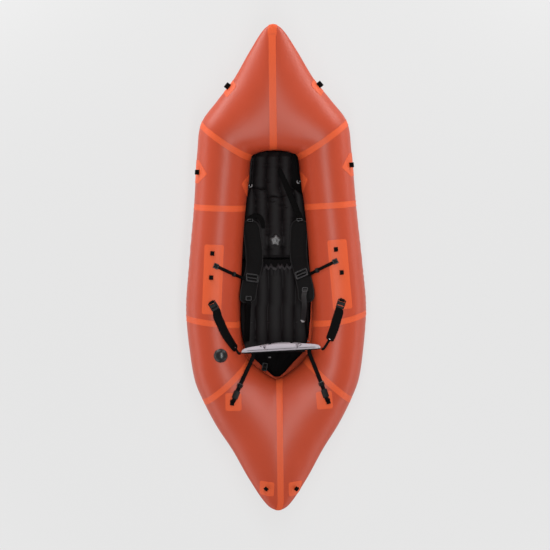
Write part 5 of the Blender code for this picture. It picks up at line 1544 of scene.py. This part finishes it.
# The pale line across a rear slider, a painted highlight
SLIDER_HIGHLIGHT_ALONG, SLIDER_HIGHLIGHT_LIFT, SLIDER_HIGHLIGHT_HALF = -0.008, 0.0032, 0.013
SLIDER_HIGHLIGHT_WIDTH, SLIDER_HIGHLIGHT_THICKNESS = 0.0018, 0.0010
REAR_WIDTHS = (0.0195, 0.0195, 0.0195, 0.0200, 0.0200, 0.0200, 0.0240, 0.0250)
REAR_SLIDER_SHARE = 0.90
TETHER_STARTS = {PORT: (9.80, 0.480), STARBOARD: (9.70, 0.488)}
TETHER_CRESTS = {PORT: (10.02, 0.150), STARBOARD: (9.93, 0.150)}
TETHER_SHOULDERS = {PORT: (10.11, 0.045), STARBOARD: (10.01, 0.045)}
TETHER_START_LIFT, TETHER_SHOULDER_LIFT, TETHER_WIDTH = 0.0022, 0.006, 0.0160
TETHER_SHARES, TETHER_CLEARS = (0.25, 0.5, 0.75, 1.0), (0.013, 0.0006)
TETHER_LOOP_HALF, TETHER_LOOP_SINK, TETHER_LOOP_WIDTH, TETHER_LOOP_THICKNESS = 0.011, 0.0008, 0.018, 0.0016
TETHER_HIGHLIGHT_LIFT, TETHER_SLIDER_LIFT = 0.0026, 0.0016
GLIDE_WIDTH, GLIDE_THICKNESS, GLIDE_WEBBING_WIDTH = 0.064, 0.004, 0.0125
GLIDE_WEBBING = ((-0.99, 0.0020), (-0.84, 0.0012), (-0.5, 0.0010), (0.5, 0.0010), (0.84, 0.0012))
LIFTER_PLACES = {
    PORT: ((-0.335, 0.315), (-0.355, 0.37), (-0.43, 0.415), (-0.56, 0.425)),
    STARBOARD: ((0.14, 0.83), (0.32, 0.69), (0.50, 0.55))}
LIFTER_WIDTHS = {PORT: 0.024, STARBOARD: 0.030}
LIFTER_TIP_SHARE, LIFTER_LIFT, LIFTER_SINK = 0.7, 0.0030, 0.004
# The lifter's end at the pad: how far ahead of it, at a share of its thickness, and the straight before it
LIFTER_CLEAR, LIFTER_HEIGHT_SHARE, LIFTER_LEAD = 0.0006, 0.35, 0.011
ADJUSTER_ENDS = {PORT: (-0.82, -0.672), STARBOARD: (0.86, -0.645)}
ADJUSTER_WIDTHS = {PORT: 0.026, STARBOARD: 0.012}
ADJUSTER_SAG, ADJUSTER_LIFT, ADJUSTER_EDGE, ADJUSTER_TURN_SHARE = 0.010, 0.006, 0.0113, 1.02


def over_tube(side, first, last, share, lift=STRAP_LIFT):
    return tube_spot(side, lerp(first[0], last[0], share), lerp(first[1], last[1], share)).moved(0, 0, lift)


def headings(points):
    """The direction from each point's neighbour before it to the one after it."""
    return [after - before for before, after in zip([points[0], *points], [*points[1:], points[-1]])]


def laid_strap(name, spots, widths, body, replaced):
    points = [spot.origin for spot in spots]
    across = [spot.out.cross(heading).normalized() for spot, heading in zip(spots, headings(points))]
    return ribbon(name, points, across, widths, body=body, replaced=replaced)


def between(piece, start, end):
    tuple(start)
    tuple(end)
    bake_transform(piece)


def wing_strap(side, side_name):
    lock = front_lock_spot(side)
    first, last = FRONT_LOCKS[side][:2], WING_ENDS[side]
    replaced = [f"wing_strap_{side_name}"]
    start = [lock.moved(reach, 0, NOSE_LIFT) for reach in NOSE_REACHES]
    over = [over_tube(side, first, last, share) for share in NOSE_SHARES]
    nose = laid_strap(f"wing_nose_{side_name}", start + over, NOSE_WIDTHS, None, replaced)
    between(nose, start[1].origin, over[1].origin)
    wide = [over_tube(side, first, last, share, WIDE_LIFT) for share in WIDE_SHARES]
    laid_strap(f"wing_wide_{side_name}", wide, WING_WIDTHS, "root", replaced)
    half = REST_WIDTH / 2 + TIE_SIDE
    thin = [over_tube(side, first, last, share, TIE_LIFT) for share in TIE_SHARES]
    thin += [Spot(rest_at(side * reach, REST_HEIGHT * TIE_HEIGHT_SHARE, TIE_OUT), YAWED, REST_UP)
             for reach in (half + TIE_CLEAR, half)]
    tie = laid_strap(f"wing_tie_{side_name}", thin, TIE_WIDTH, None, replaced)
    between(tie, thin[2].origin, thin[4].origin)
    flat_ribbon(f"wing_loop_{side_name}", lock,
                [(along, WING_LOOP_LIFT) for along in spread(*WING_LOOPS[side], 3)], WING_LOOP_WIDTH,
                body=f"front_lock_{side_name}", thickness=THIN_WEBBING)
    rivet(f"wing_rivet_{side_name}", over_tube(side, first, last, WING_RIVET_SHARES[side], RIVET_LIFT))


def rear_start(side, clear=0.0):
    return rest_at(side * REST_WIDTH / 2 * REAR_SIDE_SHARE, REST_HEIGHT * REAR_HEIGHT_SHARE,
                   REAR_OUT - clear)


def rear_buckle_spot(side):
    station, across = map(sum, zip(STERN_LOOPS[side], REAR_BUCKLE_OFFSETS[side]))
    place = tube_spot(side, station, across)
    return Spot(place.at(0, 0, REAR_BUCKLE_LIFT), rear_start(side) - stern_run(side).origin, place.out)


def rear_strap(side, side_name):
    middle, run = rear_buckle_spot(side), stern_run(side)
    buckle = [middle.at(reach, 0, 0) for reach in (REAR_BUCKLE_REACH, 0, -REAR_BUCKLE_REACH)]
    loop = [run.at(REAR_LOOP_EDGE + clear, 0, REAR_LOOP_LIFT) for clear in REAR_LOOP_CLEARS]
    level = YAWED if YAWED.dot(middle.across) > 0 else -YAWED
    clear = rear_start(side, REAR_CLEAR)
    points = [rear_start(side), clear, clear.lerp(buckle[0], 0.5), *buckle, *loop]
    across = [level] * 2 + [level.lerp(middle.across, 0.5)] + [middle.across] * 3 + [run.across] * 2
    strap = ribbon(f"rear_webbing_{side_name}", points, across, REAR_WIDTHS, body=None,
                   replaced=[f"rear_strap_{side_name}"])
    between(strap, points[0], points[3])
    share, heading = REAR_SLIDER_SHARE, points[3] - points[1]
    spot = Spot(points[1].lerp(points[3], share), heading, level.lerp(middle.across, share).cross(heading))
    if spot.out.z < 0:
        spot = Spot(spot.origin, spot.along, -spot.out)
    slider = frame_ring(f"rear_slider_{side_name}", spot.moved(0, 0, REAR_SLIDER_LIFT), REAR_SLIDER)
    between(slider, points[0], points[3])
    # A pale line across the slider: painted highlight
    line = ribbon(f"rear_slider_highlight_{side_name}",
                  [spot.at(SLIDER_HIGHLIGHT_ALONG, reach, SLIDER_HIGHLIGHT_LIFT)
                   for reach in (-SLIDER_HIGHLIGHT_HALF, 0, SLIDER_HIGHLIGHT_HALF)],
                  spot.along, SLIDER_HIGHLIGHT_WIDTH, material=HIGHLIGHT_LOOP_GREY, thickness=SLIDER_HIGHLIGHT_THICKNESS, body=None)
    between(line, points[0], points[3])


def pad_tether(side, side_name):
    first, last = TETHER_STARTS[side], TETHER_CRESTS[side]
    glide, start = glide_spot(side), tube_spot(side, *first)
    points = [start.at(0, 0, TETHER_START_LIFT)]
    points += [over_tube(side, first, last, share).origin for share in TETHER_SHARES]
    points.append(tube_spot(side, *TETHER_SHOULDERS[side]).at(0, 0, TETHER_SHOULDER_LIFT))
    points += [glide.at(0, -side * (GLIDE_WIDTH / 2 + clear), GLIDE_THICKNESS / 2)
               for clear in TETHER_CLEARS]
    strap = ribbon(f"tether_{side_name}", points, start.along, TETHER_WIDTH, body=None,
                   replaced=[f"pad_tether_{side_name}"])
    between(strap, points[4], points[7])
    ribbon(f"glide_webbing_{side_name}",
           [glide.at(0, side * share * GLIDE_WIDTH / 2, height) for share, height in GLIDE_WEBBING],
           glide.turned(GLIDE_BEARINGS[side]).along, GLIDE_WEBBING_WIDTH, body=f"pad_{side_name}",
           thickness=THIN_WEBBING)
    lock = Spot(points[0] + start.out * TETHER_START_LIFT, points[1] - points[0], start.out)
    frame_ring(f"tether_lock_{side_name}", lock, TETHER_LOCK, body="root")
    flat_ribbon(f"tether_loop_{side_name}", lock,
                [(along, -TETHER_LOOP_SINK) for along in (-TETHER_LOOP_HALF, 0.0, TETHER_LOOP_HALF)],
                TETHER_LOOP_WIDTH, thickness=TETHER_LOOP_THICKNESS)
    # A pale loop on the tether lock: painted highlight
    highlight_loop(f"tether_highlight_{side_name}", lock.moved(0, 0, TETHER_HIGHLIGHT_LIFT), TETHER_HIGHLIGHT, "root")
    crest = Spot(points[4] + start.out * TETHER_SLIDER_LIFT, points[4] - points[3], start.out)
    frame_ring(f"tether_slider_{side_name}", crest, TETHER_SLIDER, body="root")


def load_lifter(side, side_name):
    end = pad_row(side, PAD_ROWS[0])[0] + Vector((0, LIFTER_CLEAR, PAD_THICKNESS * LIFTER_HEIGHT_SHARE))
    points = []
    for x_share, y_share in LIFTER_PLACES[side]:
        y = cockpit_point(y_share)
        points.append(Vector((x_share * COCKPIT_WIDTH / 2, y, MAT_TOP + bag_rise(y) + LIFTER_LIFT)))
    points[0].z -= LIFTER_SINK
    points += [end + Vector((0, LIFTER_LEAD, 0)), end]
    across = [heading.cross(UP).normalized() for heading in headings(points)]
    widths = [LIFTER_WIDTHS[side]] * len(points)
    widths[0] *= LIFTER_TIP_SHARE
    strap = ribbon(f"lifter_{side_name}", points, across, widths, body=None,
                   replaced=[f"load_lifter_{side_name}"])
    between(strap, points[-3], points[-1])


def adjuster(side, side_name):
    lock = pad_lock_spot(side)
    tail = lock.at(-PAD_LENGTH * (ADJUSTER_TURN_SHARE - PAD_LOCK_PLACES[side]), 0, GLIDE_THICKNESS / 2)
    x_share, y_share = ADJUSTER_ENDS[side]
    end = Vector((x_share * COCKPIT_WIDTH / 2, cockpit_point(y_share), MAT_TOP + ADJUSTER_LIFT))
    points = [lock.at(-ADJUSTER_EDGE, 0, GLIDE_THICKNESS / 2)]
    for share in (0.0, 0.2, 0.4, 0.6, 0.8, 1.0):
        points.append(tail.lerp(end, share) - UP * (ADJUSTER_SAG * math.sin(math.pi * share)))
    strap = ribbon(f"adjuster_{side_name}", points, lock.across, ADJUSTER_WIDTHS[side], body=None,
                   replaced=[f"adjuster_strap_{side_name}"])
    between(strap, points[1], points[6])


for side, side_name in SIDES:
    wing_strap(side, side_name)
    rear_strap(side, side_name)
    pad_tether(side, side_name)
    load_lifter(side, side_name)
    adjuster(side, side_name)


# Painted highlights on the small buckles, and loose ends of webbing
PAD_TOP_PLACE, PAD_TOP_HIGHLIGHT_MOVE, GLIDE_SLOT_BACK = 0.012, (0.006, 0, 0.0008), 0.009
PAD_TOP_PATH, PAD_TOP_WIDTH = ((0.010, -0.006), (0.005, 0.0004), (-0.030, 0.0012), (-0.045, -0.001)), 0.020
TAIL_WIDTHS = (0.027, 0.027, 0.027, 0.027, 0.027, 0.023)
TAIL_LIFT, TAIL_START = 0.0052, ((0.004, 0, 0.0), (-0.012, 0, 0.0), (-0.040, -0.002, 0.009))
TIP_PATH = ((0.004, 0.0006), (0.0, 0.0006), (-0.004, 0.0006), (-0.008, 0.0006))
TIP_WIDTHS, TIP_THICKNESS = (0.024, 0.024, 0.018, 0.010), 0.0028
# Pixel places of the free tail, each with a height in metres
TAIL_PLACES = ((304.4, 306.0, 0.213), (303.6, 314.0, 0.180), (302.9, 321.0, 0.150))


def small_fittings(side, side_name):
    body, glide_body = f"pad_{side_name}", f"tri_glide_{side_name}"
    lock = pad_lock_spot(side)
    # Pale loops on the pad's lock, its top fitting and the tri-glide: painted highlights
    highlight_loop(f"pad_lock_highlight_{side_name}", lock.moved(0, 0, HIGHLIGHT_LIFT), PAD_LOCK_HIGHLIGHT, body)
    top = pad_spot(side, PAD_TOP_PLACE)
    highlight_loop(f"pad_top_highlight_{side_name}", top.moved(*PAD_TOP_HIGHLIGHT_MOVE), PAD_TOP_HIGHLIGHT, body)
    flat_ribbon(f"pad_top_strap_{side_name}", top, PAD_TOP_PATH, PAD_TOP_WIDTH, body=body,
                thickness=THIN_WEBBING)
    glide = glide_spot(side).turned(GLIDE_BEARINGS[side])
    highlight_loop(f"glide_highlight_{side_name}", glide.moved(0, 0, HIGHLIGHT_LIFT), GLIDE_HIGHLIGHT, glide_body)
    slot = glide.moved(-GLIDE_SLOT_BACK, 0, HIGHLIGHT_LIFT)
    highlight_loop(f"glide_slot_highlight_{side_name}", slot, GLIDE_SLOT_HIGHLIGHT, glide_body)


def free_tail():
    """The loose end of the starboard adjuster strap, in webbing painted lighter as painted light, with its
    pale tip.
    """
    lock = pad_spot(STARBOARD, PAD_LOCK_PLACES[STARBOARD], TAIL_LIFT)
    points = [lock.at(*place) for place in TAIL_START]
    points += [Vector((photo_x(x_pixel), photo_y(y_pixel), height))
               for x_pixel, y_pixel, height in TAIL_PLACES]
    tail = ribbon("pad_tail_starboard", points, lock.across, TAIL_WIDTHS, material=TAIL_WEBBING_PAINTED_LIGHT, body=None)
    between(tail, points[2], points[4])
    flat_ribbon("pad_tail_tip", Spot(points[-1], points[-2] - points[-1], UP), TIP_PATH, TIP_WIDTHS,
                material=PALE_TIP_AND_GLINT, thickness=TIP_THICKNESS)


for side, side_name in SIDES:
    small_fittings(side, side_name)
free_tail()


# Loose ends on the rucksack's tail, and small pale marks on it as painted glints, with their pixel places
BAG_STRAPS = (("port", 0.016, ((254.7, 357.4), (259.0, 361.5), (262.6, 364.9))),
              ("starboard", 0.009, ((290.5, 356.0), (285.5, 361.5), (281.5, 366.3))))
BAG_BUCKLE = (264.1, 367.3)
# Small pale marks as painted glints on the rucksack's tail
BAG_GLINTS = ((245.1, 344.6), (269.2, 357.6), (308.0, 342.0))
BAG_STRAP_LIFT, BAG_BUCKLE_LIFT, BAG_GLINT_LIFT, BAG_GLINT_WIDTH = 0.006, 0.010, 0.008, 0.006
BAG_BUCKLE_HEADING, BAG_HIGHLIGHT_MOVE = (0.18, 1, 0), (0.002, 0, 0.0034)
BUCKLE_STRAP_PATH = ((-0.017, 0.0006), (0.0, 0.0006), (0.017, 0.0006))
BUCKLE_STRAP_WIDTH, BUCKLE_STRAP_THICKNESS = 0.020, 0.004


def bag_place(x_pixel, y_pixel, lift):
    x, y = photo_x(x_pixel), photo_y(y_pixel)
    half, share = row_at(BAG_ROWS, y)
    return Vector((x, y, bag_base(y) + bag_top(min(x, 0.8 * half), y, half, share, 0.0) + lift))


for side_name, width, places in BAG_STRAPS:
    points = [bag_place(*place, BAG_STRAP_LIFT) for place in places]
    ribbon(f"bag_strap_{side_name}", points, (points[-1] - points[0]).cross(UP).normalized(), width)
buckle = Spot(bag_place(*BAG_BUCKLE, BAG_BUCKLE_LIFT), BAG_BUCKLE_HEADING, UP)
frame_ring("bag_buckle", buckle, BAG_FRAME, body="root")
# A pale loop on the rucksack's buckle: painted highlight
highlight_loop("bag_buckle_highlight", buckle.moved(*BAG_HIGHLIGHT_MOVE), BAG_HIGHLIGHT, "root")
flat_ribbon("bag_buckle_strap", buckle, BUCKLE_STRAP_PATH, BUCKLE_STRAP_WIDTH,
            thickness=BUCKLE_STRAP_THICKNESS)
for number, place in enumerate(BAG_GLINTS, 1):
    # A small pale mark, a painted glint
    glint = Spot(bag_place(*place, BAG_GLINT_LIFT), (0, 1, 0), UP)
    ribbon(f"bag_glint_{number}", [glint.at(0, reach, 0) for reach in (-BAG_GLINT_WIDTH, 0.0, BAG_GLINT_WIDTH)],
           glint.along, BAG_GLINT_WIDTH, material=PALE_TIP_AND_GLINT)


# Studio
FLOOR_SIZE, FLOOR_DROP, FLOOR_TONE, PLAIN_FLOOR_SHARE = 300.0, 0.0005, 0.80, 0.88
# A light is its place, the place that it points at, its length and width, and its power
LIGHTS = {
    "overhead": ((0.16, -0.20, 2.4), (0.16, -0.20, 0), (0.45, 2.6), 34.0),
    "left_bank": ((-2.3, 0.0, 0.22), (0, 0, 0.18), (4.0, 0.5), 22.0),
    "right_bank": ((2.3, 0.0, 0.22), (0, 0, 0.18), (4.0, 0.5), 16.0),
    "stern_left_bank": ((-1.5, -2.3, 0.60), (-0.1, -0.8, 0.25), (1.8, 0.8), 9.0),
    "stern_right_bank": ((1.5, -2.3, 0.60), (0.1, -0.8, 0.25), (1.8, 0.8), 9.0),
    "bow_left_bank": ((-1.5, 2.3, 0.60), (-0.1, 0.8, 0.25), (1.8, 0.8), 36.0),
    "bow_right_bank": ((1.5, 2.3, 0.60), (0.1, 0.8, 0.25), (1.8, 0.8), 32.0)}
WORLD_STRENGTH = 0.27
CAMERA_DISTANCE, CAMERA_PLACE, CAMERA_ROLL = 24.0, (-0.0037, -0.037, 0.134), -0.011
SENSOR, CLIP_END = 36.0, 100.0


def studio_floor():
    """A pale floor. The camera and reflections see mostly its plain colour, with a faint shadow."""
    made = bpy.data.materials.new("studio_floor")
    made.use_nodes = True
    tree = made.node_tree
    shader = tree.nodes["Principled BSDF"]
    colour = (FLOOR_TONE, FLOOR_TONE, FLOOR_TONE, 1.0)
    shader.inputs["Base Color"].default_value = colour
    shader.inputs["Roughness"].default_value = 0.9
    plain = node(tree, "ShaderNodeEmission", {"Color": colour, "Strength": 1.0})
    path = node(tree, "ShaderNodeLightPath")
    seen = path.outputs["Is Camera Ray"]
    for kind in ("Is Glossy Ray", "Is Transmission Ray"):
        seen = node(tree, "ShaderNodeMath", {0: seen, 1: path.outputs[kind]}, operation="MAXIMUM").outputs[0]
    part = node(tree, "ShaderNodeMath", {0: seen, 1: PLAIN_FLOOR_SHARE}, operation="MULTIPLY")
    both = node(tree, "ShaderNodeMixShader", {0: part.outputs[0], 1: shader.outputs[0], 2: plain.outputs[0]})
    tree.links.new(both.outputs[0], tree.nodes["Material Output"].inputs["Surface"])
    corners = [(FLOOR_SIZE / 2 * a, FLOOR_SIZE / 2 * b, -FLOOR_DROP) for a, b in BOX_CORNERS]
    floor = build("studio_floor", corners, [(0, 1, 2, 3)], made, body=None)


def area_light(name, place, target, size, power):
    data = bpy.data.lights.new(name, "AREA")
    data.shape = "RECTANGLE"
    data.size, data.size_y = size
    data.energy = power
    light = bpy.data.objects.new(name, data)
    bpy.context.scene.collection.objects.link(light)
    light.location = place
    light.rotation_euler = (Vector(target) - Vector(place)).to_track_quat("-Z", "Y").to_euler()
    light.visible_camera = False


studio_floor()
for name, light in LIGHTS.items():
    area_light(name, *light)
world = bpy.data.worlds.new("studio_world")
world.use_nodes = True
background = world.node_tree.nodes["Background"]
background.inputs["Color"].default_value = (1, 1, 1, 1)
background.inputs["Strength"].default_value = WORLD_STRENGTH
bpy.context.scene.world = world

camera_data = bpy.data.cameras.new("camera")
camera_data.sensor_width = SENSOR
camera_data.lens = SENSOR * CAMERA_DISTANCE / (PHOTO_WIDTH * PIXEL)
camera_data.clip_end = CLIP_END
camera = bpy.data.objects.new("camera", camera_data)
bpy.context.scene.collection.objects.link(camera)
camera.location = Vector(CAMERA_PLACE) + UP * CAMERA_DISTANCE
camera.rotation_euler = (0, 0, CAMERA_ROLL)
bpy.context.scene.camera = camera
bpy.context.scene.view_settings.view_transform = "Standard"
